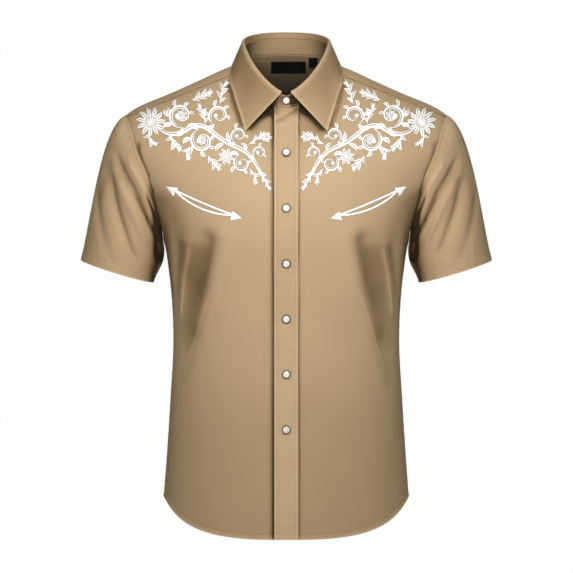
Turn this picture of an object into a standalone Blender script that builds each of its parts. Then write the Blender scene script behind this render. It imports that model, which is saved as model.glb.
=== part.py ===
"""A short sleeve western shirt, filled out as if it were worn, with no wearer in it.

Metres, +Z up. The front faces -Y and the wearer's left side is +X. The origin lies midway between
the two side neck points, where a wearer's shoulders carry the shirt. Each piece that a maker cuts
and sews on is one object: a thin wall between an outer and an inner grid of points, which both
come from the form, a smooth surface through the level sections of the table FORM.
"""

import math
from collections import namedtuple

import bmesh
import bpy
import numpy as np

# Cloth and seams.
CLOTH = 0.0012  # wall of one layer of cloth
STIFF_CLOTH = 0.0015  # wall of the interlined collar and placket
SEAM_GAP = 0.0004  # between the edges of two pieces that are sewn together
LAYER_GAP = 0.0004  # between two pieces that lie on each other

# The body, as heights above the side neck points.
FRONT_HEM = -0.711
BACK_HEM = -0.704
SIDE_HEM = -0.645
HEM_CURVES = (3.0, 9.0)  # how late the hem rises towards the side seams: two curves
HEM_BLEND = 0.62  # the first one's share
HEM_SQUARENESS = 2.35  # of the form at the hem
UNDERARM = -0.262
SHOULDER_POINT = -0.073
BACK_YOKE_SEAM = -0.105
BACK_YOKE_DROP = 0.010  # how much lower the yoke's back seam runs at the armholes
NECK_HALF_WIDTH = 0.070
ARMHOLE_FRONT = 0.063  # how far the armhole reaches in front of the shoulder ridge
ARMHOLE_BACK = 0.055
FRONT_SEAM_AT_NECK = math.radians(75)  # where the yoke's front seam meets the neckline
FRONT_SEAM_AT_ARMHOLE = math.radians(12)  # and the armhole

# The level sections of the form. front and back are the depths from the shoulder ridge, which
# lies at y = ridge, and squareness is 2 for an ellipse and more for a boxier section.
Section = namedtuple("Section", "height half_width front back ridge squareness")
FORM = (
    Section(-0.760, 0.1865, 0.128, 0.127, 0.008, 2.35),
    Section(-0.711, 0.1860, 0.128, 0.126, 0.008, 2.35),
    Section(-0.645, 0.1836, 0.127, 0.123, 0.008, 2.35),
    Section(-0.580, 0.1790, 0.125, 0.119, 0.008, 2.35),
    Section(-0.501, 0.1740, 0.123, 0.112, 0.008, 2.35),
    Section(-0.404, 0.1695, 0.122, 0.106, 0.009, 2.35),
    Section(-0.313, 0.1755, 0.127, 0.112, 0.010, 2.40),
    Section(-0.262, 0.1840, 0.129, 0.117, 0.010, 2.40),
    Section(-0.215, 0.2020, 0.126, 0.121, 0.010, 2.40),
    Section(-0.168, 0.2290, 0.116, 0.121, 0.011, 2.40),
    Section(-0.120, 0.2520, 0.100, 0.117, 0.012, 2.35),
    Section(-0.090, 0.2500, 0.085, 0.110, 0.012, 2.25),
    Section(-0.073, 0.2395, 0.075, 0.105, 0.012, 2.15),
    Section(-0.060, 0.2190, 0.066, 0.100, 0.012, 2.08),
    Section(-0.042, 0.1760, 0.053, 0.092, 0.012, 2.00),
    Section(-0.024, 0.1355, 0.039, 0.084, 0.012, 2.00),
    Section(-0.006, 0.0965, 0.025, 0.070, 0.014, 2.00),
    Section(0.0045, 0.0725, 0.019, 0.056, 0.020, 2.00),
    Section(0.0120, 0.0640, 0.017, 0.041, 0.029, 2.00),
    Section(0.0160, 0.0560, 0.014, 0.030, 0.036, 2.00),
    Section(0.0200, 0.0400, 0.010, 0.015, 0.045, 2.00),
)

# The neckline's height, by the angle round the neck from the centre front.
NeckHeight = namedtuple("NeckHeight", "angle height")
NECKLINE = (
    NeckHeight(-22, -0.0565),
    NeckHeight(0, -0.0620),
    NeckHeight(22, -0.0565),
    NeckHeight(45, -0.0370),
    NeckHeight(68, -0.0125),
    NeckHeight(90, 0.0035),
    NeckHeight(115, 0.0105),
    NeckHeight(145, 0.0148),
    NeckHeight(180, 0.0160),
    NeckHeight(215, 0.0148),
)

# The largest folds, from one end to the other, as soft troughs (rise below zero) and ridges.
# On the body a place is an angle in degrees, above zero on the wearer's left, and a height.
# On a sleeve it is a turn in degrees about the armhole, and a share of the way to the cuff.
# A fold's fade is the share of it that is lost towards its end.
Fold = namedtuple("Fold", "start_turn start_place end_turn end_place width rise fade")
BODY_FOLDS = (
    Fold(37, -0.262, 53, -0.410, 0.014, -0.0065, 0.8),
    Fold(29, -0.256, 43, -0.405, 0.013, 0.0030, 0.8),
    Fold(50, -0.270, 63, -0.365, 0.010, 0.0030, 0.5),
    Fold(-38, -0.260, -53, -0.405, 0.014, -0.0065, 0.8),
    Fold(-29, -0.256, -43, -0.400, 0.013, 0.0030, 0.8),
    Fold(-49, -0.268, -63, -0.360, 0.010, 0.0030, 0.5),
    Fold(131, -0.235, 138, -0.420, 0.017, -0.0060, 0.0),
    Fold(-132, -0.240, -137, -0.400, 0.017, -0.0060, 0.0),
    Fold(172, -0.330, 166, -0.520, 0.018, -0.0040, 0.0),
)
LEFT_SLEEVE_FOLDS = (
    Fold(48, 0.345, 116, 0.295, 0.011, -0.0055, 0.0),
    Fold(46, 0.495, 104, 0.710, 0.012, -0.0048, 0.6),
    Fold(64, 0.42, 118, 0.50, 0.011, 0.0026, 0.0),
    Fold(240, 0.25, 290, 0.75, 0.012, -0.0050, 0.0),
)
RIGHT_SLEEVE_FOLDS = (
    Fold(48, 0.325, 116, 0.290, 0.011, -0.0055, 0.0),
    Fold(42, 0.465, 110, 0.750, 0.012, -0.0048, 0.6),
    Fold(64, 0.42, 118, 0.51, 0.011, 0.0026, 0.0),
    Fold(238, 0.25, 292, 0.70, 0.012, -0.0050, 0.0),
)
FOLD_FADE_START = 0.3  # the share of a fold's length before which it keeps its whole rise
BODY_GIRTH_RADIUS = 0.16  # turns into lengths, for the folds' widths
SLEEVE_GIRTH_RADIUS = 0.07
SLEEVE_LENGTH = 0.23

# Sleeves.
CUFF_CENTRE = np.array((0.2535, 0.008, -0.3075))
CUFF_TO_OUTSIDE = np.array((0.0545, 0.0, 0.0165))
CUFF_TO_FRONT = np.array((0.0, -0.0590, -0.0045))
CAP_TANGENT = np.array((0.92, 0.0, -0.39))  # how the sleeve leaves the armhole, at its top
FRONT_TANGENT = np.array((0.58, -0.10, -0.80))
BACK_TANGENT = np.array((0.58, 0.16, -0.80))
UNDERARM_TANGENT = np.array((-0.19, 0.0, -0.98))
CUFF_TANGENT = np.array((0.22, 0.0, -0.975))
CAP_PULL = 0.085  # how far a sleeve keeps its direction at the front and back of the armhole
TOP_PULL = 0.120  # at its top
FOOT_PULL = 0.110  # and at the underarm
CUFF_PULL = (0.155, 0.095)  # and at the cuff
SLEEVE_FOLD_START = 0.2  # the share of its length over which its folds set in

# Collar. Heights and sizes of the fold, where the leaf turns over the top of the stand.
FOLD_HALF_WIDTH = 0.064
FOLD_FRONT_Y = -0.061
FOLD_SIDE_Y = 0.006
FOLD_BACK_Y = 0.060
FOLD_FRONT = -0.040
FOLD_SIDE = 0.037
FOLD_BACK = 0.0505
FOLD_FRONT_CURVE = 1.4  # a straighter V in front, and a rounder arch behind
FOLD_BACK_CURVE = 2.4
FOLD_ROLL = 0.0014  # inner radius of the roll at the fold
LIP_BACK = 0.0065  # height of the leaf's inner lip above the stand, behind and in front
LIP_FRONT = 0.0015
STAND_ROUND = 0.009  # radius of the rounded top corner of its ends
STAND_END_CLEAR = 0.03  # between its last end column and the next one on the neckline
LEAF_END = math.radians(6.5)  # where the leaf's front edge leaves the fold
LEAF_BULGE = 0.0025  # how far the leaf swells between the fold and its edge, in front
LEAF_BULGE_SIDE = 0.0002  # and at the sides

# The leaf's lower edge, by the angle round the neck from the centre front.
LeafEdge = namedtuple("LeafEdge", "angle x y height")
LEAF_EDGE = (
    LeafEdge(6.5, 0.0618, -0.0787, -0.0975),
    LeafEdge(17, 0.0665, -0.0700, -0.0810),
    LeafEdge(31, 0.0725, -0.0570, -0.0620),
    LeafEdge(46, 0.0785, -0.0405, -0.0420),
    LeafEdge(65, 0.0843, -0.0230, -0.0235),
    LeafEdge(76, 0.0848, -0.0090, -0.0120),
    LeafEdge(87, 0.0822, 0.0060, -0.0005),
    LeafEdge(113, 0.0765, 0.0405, 0.0035),
    LeafEdge(135, 0.0630, 0.0610, 0.0030),
    LeafEdge(158, 0.0340, 0.0780, 0.0030),
    LeafEdge(180, 0.0000, 0.0840, 0.0030),
)

# Placket and snaps.
PLACKET_HALF_WIDTH = 0.0178
PLACKET_TOP_CLEAR = 0.0012  # between its top edge and the neckline
UNDERLAP_START = 0.045  # from here to the placket's edge the right front dips under the left
UNDERLAP_END = 0.0195
TOP_SNAP = -0.1305
SNAP_SPACING = 0.0831
PLACKET_SNAPS = 6
STAND_SNAP = -0.0516
SNAP_LIFT = 0.0004  # between a cup and the cloth under it
BEZEL_RADIUS = 0.0062
PEARL_RADIUS = 0.0055
BEZEL_FLOOR = 0.0006
BEZEL_HEIGHT = 0.0014
PEARL_BASE = 0.0009
PEARL_SHOULDER = 0.0016
PEARL_CROWN = 0.0026
SNAP_SIDES = 12

# Labels, on the inner face of the back yoke: across and up to their centres.
LABEL_SIZE = (0.053, 0.0165)
LABEL_CENTRE = (0.0033, -0.0002)
SIZE_TAB_SIZE = (0.013, 0.013)
SIZE_TAB_CENTRE = (0.0415, 0.0072)
LABEL_WALL = 0.0010
LABEL_DROP = 0.0015  # they hang this far inside the yoke

Finish = namedtuple("Finish", "red green blue roughness metallic")
FINISHES = {
    "tan_cloth": Finish(0.48, 0.35, 0.22, 0.75, 0.0),
    "pearl": Finish(0.92, 0.90, 0.84, 0.25, 0.0),
    "snap_metal": Finish(0.62, 0.58, 0.50, 0.35, 1.0),
    "black_label": Finish(0.02, 0.02, 0.02, 0.60, 0.0),
}


# The form.


def between_rows(table, key, name, at):
    """A column of a table at these places, on a smooth curve through its rows."""
    keys = np.array([getattr(row, key) for row in table])
    values = np.array([getattr(row, name) for row in table])
    slopes = np.gradient(values, keys)
    i = np.clip(np.searchsorted(keys, at) - 1, 0, len(keys) - 2)
    step = keys[i + 1] - keys[i]
    t = (at - keys[i]) / step
    start = values[i] * (1 + 2 * t) * (1 - t) ** 2 + slopes[i] * step * t * (1 - t) ** 2
    end = values[i + 1] * t * t * (3 - 2 * t) - slopes[i + 1] * step * t * t * (1 - t)
    return start + end


def column(name, height):
    """A column of FORM at these heights."""
    return between_rows(FORM, "height", name, height)


def fold_rise(folds, turn, place, radius, length):
    """How far these folds lift the cloth at each turn and place."""
    rise = np.zeros(np.broadcast(turn, place).shape)
    for fold in folds:
        start = math.radians(fold.start_turn) * radius, fold.start_place * length
        run = math.radians(fold.end_turn) * radius - start[0], fold.end_place * length - start[1]
        across, along = turn * radius - start[0], place * length - start[1]
        share = np.clip((across * run[0] + along * run[1]) / (run[0] ** 2 + run[1] ** 2), 0, 1)
        apart = (across - share * run[0]) ** 2 + (along - share * run[1]) ** 2
        lost = np.clip((share - FOLD_FADE_START) / (1 - FOLD_FADE_START), 0, 1)
        left = 1 - fold.fade * lost * lost * (3 - 2 * lost)
        rise = rise + fold.rise * left * np.exp(-apart / fold.width**2)
    return rise


def form(theta, height):
    """Points of the form. theta turns from the centre front past the side to the centre back."""
    theta, height = np.broadcast_arrays(theta, height)
    sine, cosine = np.sin(theta), np.cos(theta)
    squareness = column("squareness", height)
    reach = (np.abs(sine) ** squareness + np.abs(cosine) ** squareness) ** (-1 / squareness)
    depth = np.where(cosine > 0, column("front", height), column("back", height))
    rise = fold_rise(BODY_FOLDS, theta, height, BODY_GIRTH_RADIUS, 1.0)
    x = column("half_width", height) * reach * sine + rise * sine
    y = column("ridge", height) - depth * reach * cosine - rise * cosine
    return np.stack([x, y, height], axis=-1)


def unit(vectors):
    """The vectors at length one."""
    return vectors / np.linalg.norm(vectors, axis=-1, keepdims=True)


def form_normal(theta, height):
    """The form's outward normals, from short steps along it."""
    step = 1e-4
    around = form(theta + step, height) - form(theta - step, height)
    upward = form(theta, height + step) - form(theta, height - step)
    return unit(np.cross(around, upward))


def theta_of_x(x, height):
    """Where the front of the form's section at this height has this x."""
    squareness = column("squareness", height)
    share = np.clip(np.abs(x) / column("half_width", height), 0, 0.99999)
    return np.sign(x) * np.arctan(share / (1 - share**squareness) ** (1 / squareness))


def armhole(turn):
    """(theta, height) on the left armhole: turn runs from its top by the front to the underarm."""
    height = (SHOULDER_POINT + UNDERARM) / 2 + (SHOULDER_POINT - UNDERARM) / 2 * np.cos(turn)
    front = np.sin(turn) >= 0
    depth = np.where(front, column("front", height), column("back", height))
    reach = np.where(front, ARMHOLE_FRONT, ARMHOLE_BACK) * np.abs(np.sin(turn)) / depth
    squareness = column("squareness", height)
    theta = np.arctan2((1 - reach**squareness) ** (1 / squareness), reach)
    return np.stack([np.where(front, theta, math.pi - theta), height], axis=-1)


def neckline(angle):
    """(theta, height) on the neckline: angle turns from the centre front to the centre back."""
    from_front = np.degrees(np.arccos(np.cos(angle)))
    height = between_rows(NECKLINE, "angle", "height", from_front)
    width = np.minimum(NECK_HALF_WIDTH * np.abs(np.sin(angle)), column("half_width", height))
    theta = theta_of_x(width, height)
    theta = np.where(np.cos(angle) > 0, theta, math.pi - theta)
    return np.stack([theta * np.sign(np.sin(angle) + 1e-12), height], axis=-1)


# Walls.


def wall(name, outer, inner, finish, closed=False):
    """An object whose solid lies between two grids of points [row, column, xyz].

    closed joins the last column to the first, as in a sleeve."""
    rows, columns = outer.shape[:2]
    shape = bmesh.new()
    sides = [
        [[shape.verts.new(point) for point in row] for row in grid] for grid in (outer, inner)
    ]
    across = range(columns if closed else columns - 1)
    for grid in sides:
        for r in range(rows - 1):
            for c in across:
                d = (c + 1) % columns
                shape.faces.new((grid[r][c], grid[r][d], grid[r + 1][d], grid[r + 1][c]))
    out, inn = sides
    for c in across:
        d = (c + 1) % columns
        for r in (0, rows - 1):
            shape.faces.new((out[r][c], inn[r][c], inn[r][d], out[r][d]))
    if not closed:
        for r in range(rows - 1):
            for c in (0, columns - 1):
                shape.faces.new((out[r][c], out[r + 1][c], inn[r + 1][c], inn[r][c]))
    return finished(name, shape, finish)


def finished(name, shape, finish):
    """The object of a bmesh, with outward faces, smooth shading and its material."""
    bmesh.ops.recalc_face_normals(shape, faces=shape.faces)
    mesh = bpy.data.meshes.new(name)
    shape.to_mesh(mesh)
    shape.free()
    mesh.shade_smooth()
    mesh.set_sharp_from_angle(angle=math.radians(50))
    mesh.materials.append(material(finish))
    made = bpy.data.objects.new(name, mesh)
    bpy.context.scene.collection.objects.link(made)
    return made


def material(name):
    """The finish's material, made once."""
    if name in bpy.data.materials:
        return bpy.data.materials[name]
    finish = FINISHES[name]
    made = bpy.data.materials.new(name)
    made.use_nodes = True
    shader = made.node_tree.nodes["Principled BSDF"]
    shader.inputs["Base Color"].default_value = (finish.red, finish.green, finish.blue, 1)
    shader.inputs["Roughness"].default_value = finish.roughness
    shader.inputs["Metallic"].default_value = finish.metallic
    return made


def on_form(chart, inset=0.0):
    """Points of the form at chart positions [..., (theta, height)], moved in along its normal."""
    theta, height = chart[..., 0], chart[..., 1]
    inset = np.broadcast_to(inset, theta.shape)[..., None]
    return form(theta, height) - inset * form_normal(theta, height)


def patch(left, right, bottom, top, u, v):
    """Chart positions inside four boundary curves that meet at their corners."""
    u, v = u[None, :, None], v[:, None, None]
    sides = (1 - u) * left + u * right
    ends = (1 - v) * bottom + v * top
    corners = (1 - u) * ((1 - v) * bottom[:, :1] + v * top[:, :1])
    corners = corners + u * ((1 - v) * bottom[:, -1:] + v * top[:, -1:])
    return sides + ends - corners


def stretches(split, lower, upper):
    """A row position list: lower steps up to split, then upper steps to one."""
    below = np.linspace(0, split, lower + 1)
    return np.concatenate([below, np.linspace(split, 1, upper + 1)[1:]])


def two_runs(v, split, first, second):
    """Chart positions along a side that follows one curve up to split and another above it."""
    low = first(np.clip(v / split, 0, 1))
    high = second(np.clip((v - split) / (1 - split), 0, 1))
    return np.where((v <= split)[:, None], low, high)[:, None, :]


def blend(start, end, share):
    """The value that share of the way from start to end."""
    return start + (end - start) * share


def hem_height(theta, centre):
    """The curved shirt tail: lowest at the centre, with a corner at each side seam."""
    sine, cosine = np.abs(np.sin(theta)), np.abs(np.cos(theta))
    reach = (sine**HEM_SQUARENESS + cosine**HEM_SQUARENESS) ** (-1 / HEM_SQUARENESS)
    share = sine * reach
    rise = HEM_BLEND * share ** HEM_CURVES[0] + (1 - HEM_BLEND) * share ** HEM_CURVES[1]
    return centre + (SIDE_HEM - centre) * rise


# The pieces of the body.

SIDE_ROWS = 10  # rows of a panel's grid below the underarm
FRONT_ARMHOLE_ROWS = 13
BACK_ARMHOLE_ROWS = 8
FRONT_COLUMNS = 12
YOKE_ROWS = 7
NECK_COLUMNS = 6  # steps of the neckline on each front, and on each half of the yoke
SIDE_SPLIT = 0.60  # the share of a panel's rows that lies below the underarm
NECK_SPLIT = 1 - 0.40 * NECK_COLUMNS / FRONT_ARMHOLE_ROWS  # and below the neckline, in front
CHEST = -0.270  # where the front's row from the underarm meets the centre line
PLACKET_ANGLE = math.asin(PLACKET_HALF_WIDTH / NECK_HALF_WIDTH)
SIDE_SEAM_TURN = SEAM_GAP / 2 / 0.12  # half the side seam's gap, at the form's depth
FRONT_TOP_ANGLE = FRONT_SEAM_AT_NECK - SEAM_GAP / NECK_HALF_WIDTH
FRONT_TOP_TURN = FRONT_SEAM_AT_ARMHOLE + SEAM_GAP / ARMHOLE_FRONT


def half_panel(centre_side, seam_side, hem_centre, top_curve, u, v):
    """A front or half a back, between its centre line, its side seam and armhole, hem and top."""
    right = two_runs(v, SIDE_SPLIT, *seam_side)
    left = centre_side(v)
    bottom = np.stack([blend(left[0, 0, 0], right[0, 0, 0], u), np.zeros_like(u)], axis=-1)
    bottom[:, 1] = hem_height(bottom[:, 0], hem_centre)
    return patch(left, right, bottom[None], top_curve(u, left[-1, 0], right[-1, 0])[None], u, v)


def side_seam(theta):
    """The side seam from the hem to the underarm, at this theta."""

    def run(share):
        height = blend(SIDE_HEM, UNDERARM, share)
        return np.stack([np.full_like(share, theta), height], axis=-1)

    return run


def front_chart(u, v):
    """A front: it reaches past the centre by half a placket's width."""
    side = math.pi / 2 - SIDE_SEAM_TURN

    def centre_run(share):
        lower = np.clip(share * NECK_SPLIT / SIDE_SPLIT, 0, 1)
        upper = np.clip((share * NECK_SPLIT - SIDE_SPLIT) / (NECK_SPLIT - SIDE_SPLIT), 0, 1)
        top = neckline(np.array(-PLACKET_ANGLE))[1]
        height = blend(blend(FRONT_HEM, CHEST, lower), top, 1 - (1 - upper) ** 1.25)
        return np.stack([theta_of_x(-PLACKET_HALF_WIDTH, height), height], axis=-1)

    def neck_run(share):
        return neckline(blend(-PLACKET_ANGLE, FRONT_TOP_ANGLE, share))

    def armhole_run(share):
        chart = armhole(blend(math.pi, FRONT_TOP_TURN, share))
        chart[..., 0] = np.minimum(chart[..., 0], side)
        return chart

    def shoulder_seam(u, start, end):
        x = blend(form(*start)[0], form(*end)[0], u)
        height = blend(start[1], end[1], u)
        return np.stack([theta_of_x(x, height), height], axis=-1)

    return half_panel(
        lambda v: two_runs(v, NECK_SPLIT, centre_run, neck_run),
        (side_seam(side), armhole_run),
        FRONT_HEM,
        shoulder_seam,
        u,
        v,
    )


RIGHT_SIDE = np.array((-1.0, 1.0))  # turns chart positions on the left into ones on the right


def both_sides(half):
    """A chart of the left half of a piece, carried on over its centre line to the right."""
    return np.concatenate([(half * RIGHT_SIDE)[:, :0:-1], half], axis=1)


def build_fronts():
    """The left front, and the right one, whose edge dips under the left."""
    u = np.linspace(0, 1, FRONT_COLUMNS + 1)
    chart = front_chart(u, stretches(SIDE_SPLIT, SIDE_ROWS, FRONT_ARMHOLE_ROWS))
    wall("front_left", on_form(chart), on_form(chart, CLOTH), "tan_cloth")
    from_centre = form(chart[..., 0], chart[..., 1])[..., 0]
    share = np.clip((UNDERLAP_START - from_centre) / (UNDERLAP_START - UNDERLAP_END), 0, 1)
    dip = (CLOTH + 2 * LAYER_GAP) * share * share * (3 - 2 * share)
    chart = chart * RIGHT_SIDE
    wall("front_right", on_form(chart, dip), on_form(chart, dip + CLOTH), "tan_cloth")


def back_turn(height):
    """The armhole's turn behind the shoulder at this height."""
    middle, half = (SHOULDER_POINT + UNDERARM) / 2, (SHOULDER_POINT - UNDERARM) / 2
    return 2 * math.pi - math.acos((height - middle) / half)


def yoke_seam_height(share):
    """The yoke's back seam, from the centre back to the armhole."""
    return BACK_YOKE_SEAM - BACK_YOKE_DROP * share**2


BACK_TOP_TURN = back_turn(BACK_YOKE_SEAM - BACK_YOKE_DROP)


def back_chart(u, v):
    """Half the back, from the centre back to the left side."""
    side = math.pi / 2 + SIDE_SEAM_TURN
    end_turn = BACK_TOP_TURN - SEAM_GAP / ARMHOLE_BACK

    def centre_run(v):
        height = blend(BACK_HEM, BACK_YOKE_SEAM - SEAM_GAP, v)
        return np.stack([np.full_like(v, math.pi), height], axis=-1)[:, None, :]

    def armhole_run(share):
        chart = armhole(blend(math.pi, end_turn, share))
        chart[..., 0] = np.maximum(chart[..., 0], side)
        return chart

    def yoke_seam(u, start, end):
        return np.stack([blend(start[0], end[0], u), yoke_seam_height(u) - SEAM_GAP], axis=-1)

    return half_panel(centre_run, (side_seam(side), armhole_run), BACK_HEM, yoke_seam, u, v)


def build_back():
    """The back below the yoke, in one piece from side to side."""
    u, v = np.linspace(0, 1, 12), stretches(SIDE_SPLIT, SIDE_ROWS, BACK_ARMHOLE_ROWS)
    chart = both_sides(back_chart(u, v))
    wall("back", on_form(chart), on_form(chart, CLOTH), "tan_cloth")


YOKE_PIVOT = -0.130  # height of the line that the yoke's sections turn about


def yoke_point(x, lean):
    """(theta, height) where the form has this x, on a ray that leans back by this angle."""
    low, high = np.zeros_like(x), np.full_like(x, 0.30)
    for _ in range(40):
        middle = (low + high) / 2
        height = np.clip(YOKE_PIVOT + middle * np.cos(lean), YOKE_PIVOT, FORM[-1].height)
        depth = np.where(lean < 0, column("front", height), column("back", height))
        squareness = column("squareness", height)
        width = np.abs(x) / column("half_width", height)
        inside = width**squareness + (middle * np.abs(np.sin(lean)) / depth) ** squareness < 1
        low, high = np.where(inside, middle, low), np.where(inside, high, middle)
    height = YOKE_PIVOT + low * np.cos(lean)
    depth = np.where(lean < 0, column("front", height), column("back", height))
    theta = np.arctan2(np.abs(x) / column("half_width", height), low * np.abs(np.sin(lean)) / depth)
    return np.stack([np.where(lean < 0, theta, math.pi - theta), height], axis=-1)


def x_and_lean(chart):
    """The x of chart positions on the form, and how far they lean back from the yoke's pivot."""
    points = form(chart[..., 0], chart[..., 1])
    behind = points[..., 1] - column("ridge", chart[..., 1])
    return np.stack([points[..., 0], np.arctan2(behind, points[..., 2] - YOKE_PIVOT)], axis=-1)


NECK_SHARE = 0.34  # the share of half the yoke's columns that end at the neckline


def yoke_chart(u, v):
    """Half the yoke, from its back seam over the shoulder to the neckline and the front seam."""
    seam_end = armhole(np.array(BACK_TOP_TURN))
    back_seam = np.stack([blend(math.pi, seam_end[0], u), yoke_seam_height(u)], axis=-1)
    neck = neckline(blend(math.pi, FRONT_SEAM_AT_NECK, np.clip(u / NECK_SHARE, 0, 1)))
    share = np.clip((u - NECK_SHARE) / (1 - NECK_SHARE), 0, 1)
    start = neckline(np.array(FRONT_SEAM_AT_NECK))
    end = armhole(np.array(FRONT_SEAM_AT_ARMHOLE))
    x, height = blend(form(*start)[0], form(*end)[0], share), blend(start[1], end[1], share)
    front_seam = np.stack([theta_of_x(x, height), height], axis=-1)
    top = np.where((u <= NECK_SHARE)[:, None], neck, front_seam)
    turn = blend(BACK_TOP_TURN - 2 * math.pi, FRONT_SEAM_AT_ARMHOLE, v)
    height = blend(BACK_YOKE_SEAM, NECKLINE[-2].height, v)
    centre = np.stack([np.full_like(v, math.pi), height], axis=-1)
    chart = patch(
        x_and_lean(centre)[:, None],
        x_and_lean(armhole(turn))[:, None],
        x_and_lean(back_seam)[None],
        x_and_lean(top)[None],
        u,
        v,
    )
    return yoke_point(np.maximum(chart[..., 0], 0), chart[..., 1])


def build_yoke():
    """The yoke, in one piece over both shoulders."""
    u = stretches(NECK_SHARE, NECK_COLUMNS, FRONT_COLUMNS)
    chart = both_sides(yoke_chart(u, np.linspace(0, 1, YOKE_ROWS + 1)))
    wall("yoke", on_form(chart), on_form(chart, CLOTH), "tan_cloth")


# Sleeves.


def sleeve(turn, share, side):
    """Points of a sleeve's outer face: turn as on the armhole, share from there to the cuff.

    side is 1 for the left sleeve and -1 for the right."""
    turn, share = np.broadcast_arrays(turn, share)
    chart = armhole(turn)
    start = form(side * chart[..., 0], chart[..., 1]) * np.array((side, 1, 1))
    start = start + np.array((SEAM_GAP, 0.0, 0.0))
    up, ahead = np.cos(turn)[..., None], np.sin(turn)[..., None]
    end = CUFF_CENTRE + CUFF_TO_OUTSIDE * up + CUFF_TO_FRONT * ahead
    flank = np.where(ahead > 0, FRONT_TANGENT, BACK_TANGENT)
    pole = np.where(up > 0, CAP_TANGENT, UNDERARM_TANGENT)
    swing, more = (TOP_PULL - FOOT_PULL) / 2, (TOP_PULL + FOOT_PULL) / 2 - CAP_PULL
    leave = unit(flank * ahead**2 + pole * up**2) * (CAP_PULL + swing * up + more * up**2)
    arrive = CUFF_TANGENT * (CUFF_PULL[0] + CUFF_PULL[1] * up)
    t = share[..., None]
    points = start * (1 + 2 * t) * (1 - t) ** 2 + leave * t * (1 - t) ** 2
    points = points + end * t * t * (3 - 2 * t) - arrive * t * t * (1 - t)
    folds = LEFT_SLEEVE_FOLDS if side > 0 else RIGHT_SLEEVE_FOLDS
    rise = fold_rise(folds, np.mod(turn, 2 * math.pi), share, SLEEVE_GIRTH_RADIUS, SLEEVE_LENGTH)
    rise = (rise * np.clip(share / SLEEVE_FOLD_START, 0, 1))[..., None]
    points = points + rise * unit(CUFF_TO_OUTSIDE * up + CUFF_TO_FRONT * ahead)
    return points * np.array((side, 1, 1))


def sleeve_normal(turn, share, side):
    """The sleeve's outward normals, from short steps along it."""
    step = 1e-4
    around = sleeve(turn + step, share, side) - sleeve(turn - step, share, side)
    along = sleeve(turn, share + step, side) - sleeve(turn, share - step, side)
    return side * unit(np.cross(around, along))


def build_sleeves():
    """Both sleeves, open at the armhole and the cuff, on the points of the armhole's pieces."""
    front = np.linspace(FRONT_TOP_TURN, math.pi, FRONT_ARMHOLE_ROWS + 1)
    back = np.linspace(math.pi, BACK_TOP_TURN - SEAM_GAP / ARMHOLE_BACK, BACK_ARMHOLE_ROWS + 1)
    yoke = np.linspace(BACK_TOP_TURN, 2 * math.pi + FRONT_TOP_TURN, YOKE_ROWS + 1)
    turn = np.concatenate([front, back[1:], yoke[1:-1]])[None, :]
    share = np.linspace(0, 1, 9)[:, None]
    for name, side in (("sleeve_left", 1), ("sleeve_right", -1)):
        outer = sleeve(turn, share, side)
        inner = outer - CLOTH * sleeve_normal(turn, share, side)
        wall(name, outer, inner, "tan_cloth", closed=True)


# Collar.


def fold_line(angle):
    """The fold of the collar: angle turns from the centre front to the centre back and on."""
    side = np.abs(np.sin(angle))
    front = (1 - side**FOLD_FRONT_CURVE) ** (1 / FOLD_FRONT_CURVE)
    back = (1 - side**FOLD_BACK_CURVE) ** (1 / FOLD_BACK_CURVE)
    ahead = np.cos(angle) > 0
    height = np.where(
        ahead, blend(FOLD_SIDE, FOLD_FRONT, front), blend(FOLD_SIDE, FOLD_BACK, back)
    )
    end_y = np.where(ahead, FOLD_FRONT_Y, FOLD_BACK_Y)
    y = blend(FOLD_SIDE_Y, end_y, np.abs(np.cos(angle)))
    return np.stack([FOLD_HALF_WIDTH * np.sin(angle), y, height], axis=-1)


def neck_out(angle):
    """The level direction away from the middle of the neck."""
    out = np.stack([np.sin(angle), -np.cos(angle), np.zeros_like(angle)], axis=-1)
    return unit(out / np.array((FOLD_HALF_WIDTH, FOLD_BACK_Y, 1.0)))


def lip(angle):
    """How far the leaf's inner lip comes down from the fold to the stand."""
    return blend(LIP_FRONT, LIP_BACK, (1 - np.cos(angle)) / 2)[..., None]


UP = np.array((0.0, 0.0, 1.0))


def half_neck():
    """The angles at which the pieces of the left half have points on the neckline."""
    front = np.linspace(-PLACKET_ANGLE, FRONT_TOP_ANGLE, NECK_COLUMNS + 1)
    yoke = np.linspace(FRONT_SEAM_AT_NECK, math.pi, NECK_COLUMNS + 1)
    return np.concatenate([front[:-1], yoke])


def whole_neck(half):
    """Angles on the left half, carried on round the back to the right."""
    return np.concatenate([half, 2 * math.pi - half[-2::-1]])


def stand_rows(angle, shares):
    """The stand's outer face, from the neckline to its top edge, at these angles."""
    seam = whole_neck(half_neck())
    chart = neckline(seam)
    edge = form(chart[..., 0], chart[..., 1]) + SEAM_GAP * UP
    base = np.stack([np.interp(angle, seam, edge[:, axis]) for axis in range(3)], axis=-1)
    roll = FOLD_ROLL + STIFF_CLOTH
    top = fold_line(angle) - neck_out(angle) * FOLD_ROLL - UP * (lip(angle) + roll + SEAM_GAP)
    middle = math.pi
    spiral = ((middle - angle) / (2 * (middle + PLACKET_ANGLE)))[:, None]
    shift = neck_out(angle) * spiral * (STIFF_CLOTH + 2 * LAYER_GAP)
    from_end = NECK_HALF_WIDTH * (middle + PLACKET_ANGLE - np.abs(angle - middle))
    cut = STAND_ROUND - np.sqrt(STAND_ROUND**2 - np.clip(STAND_ROUND - from_end, 0, None) ** 2)
    reach = 1 - cut / np.linalg.norm(top - base, axis=-1)
    return np.array([blend(base, top, (share * reach)[:, None]) + shift for share in shares])


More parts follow.
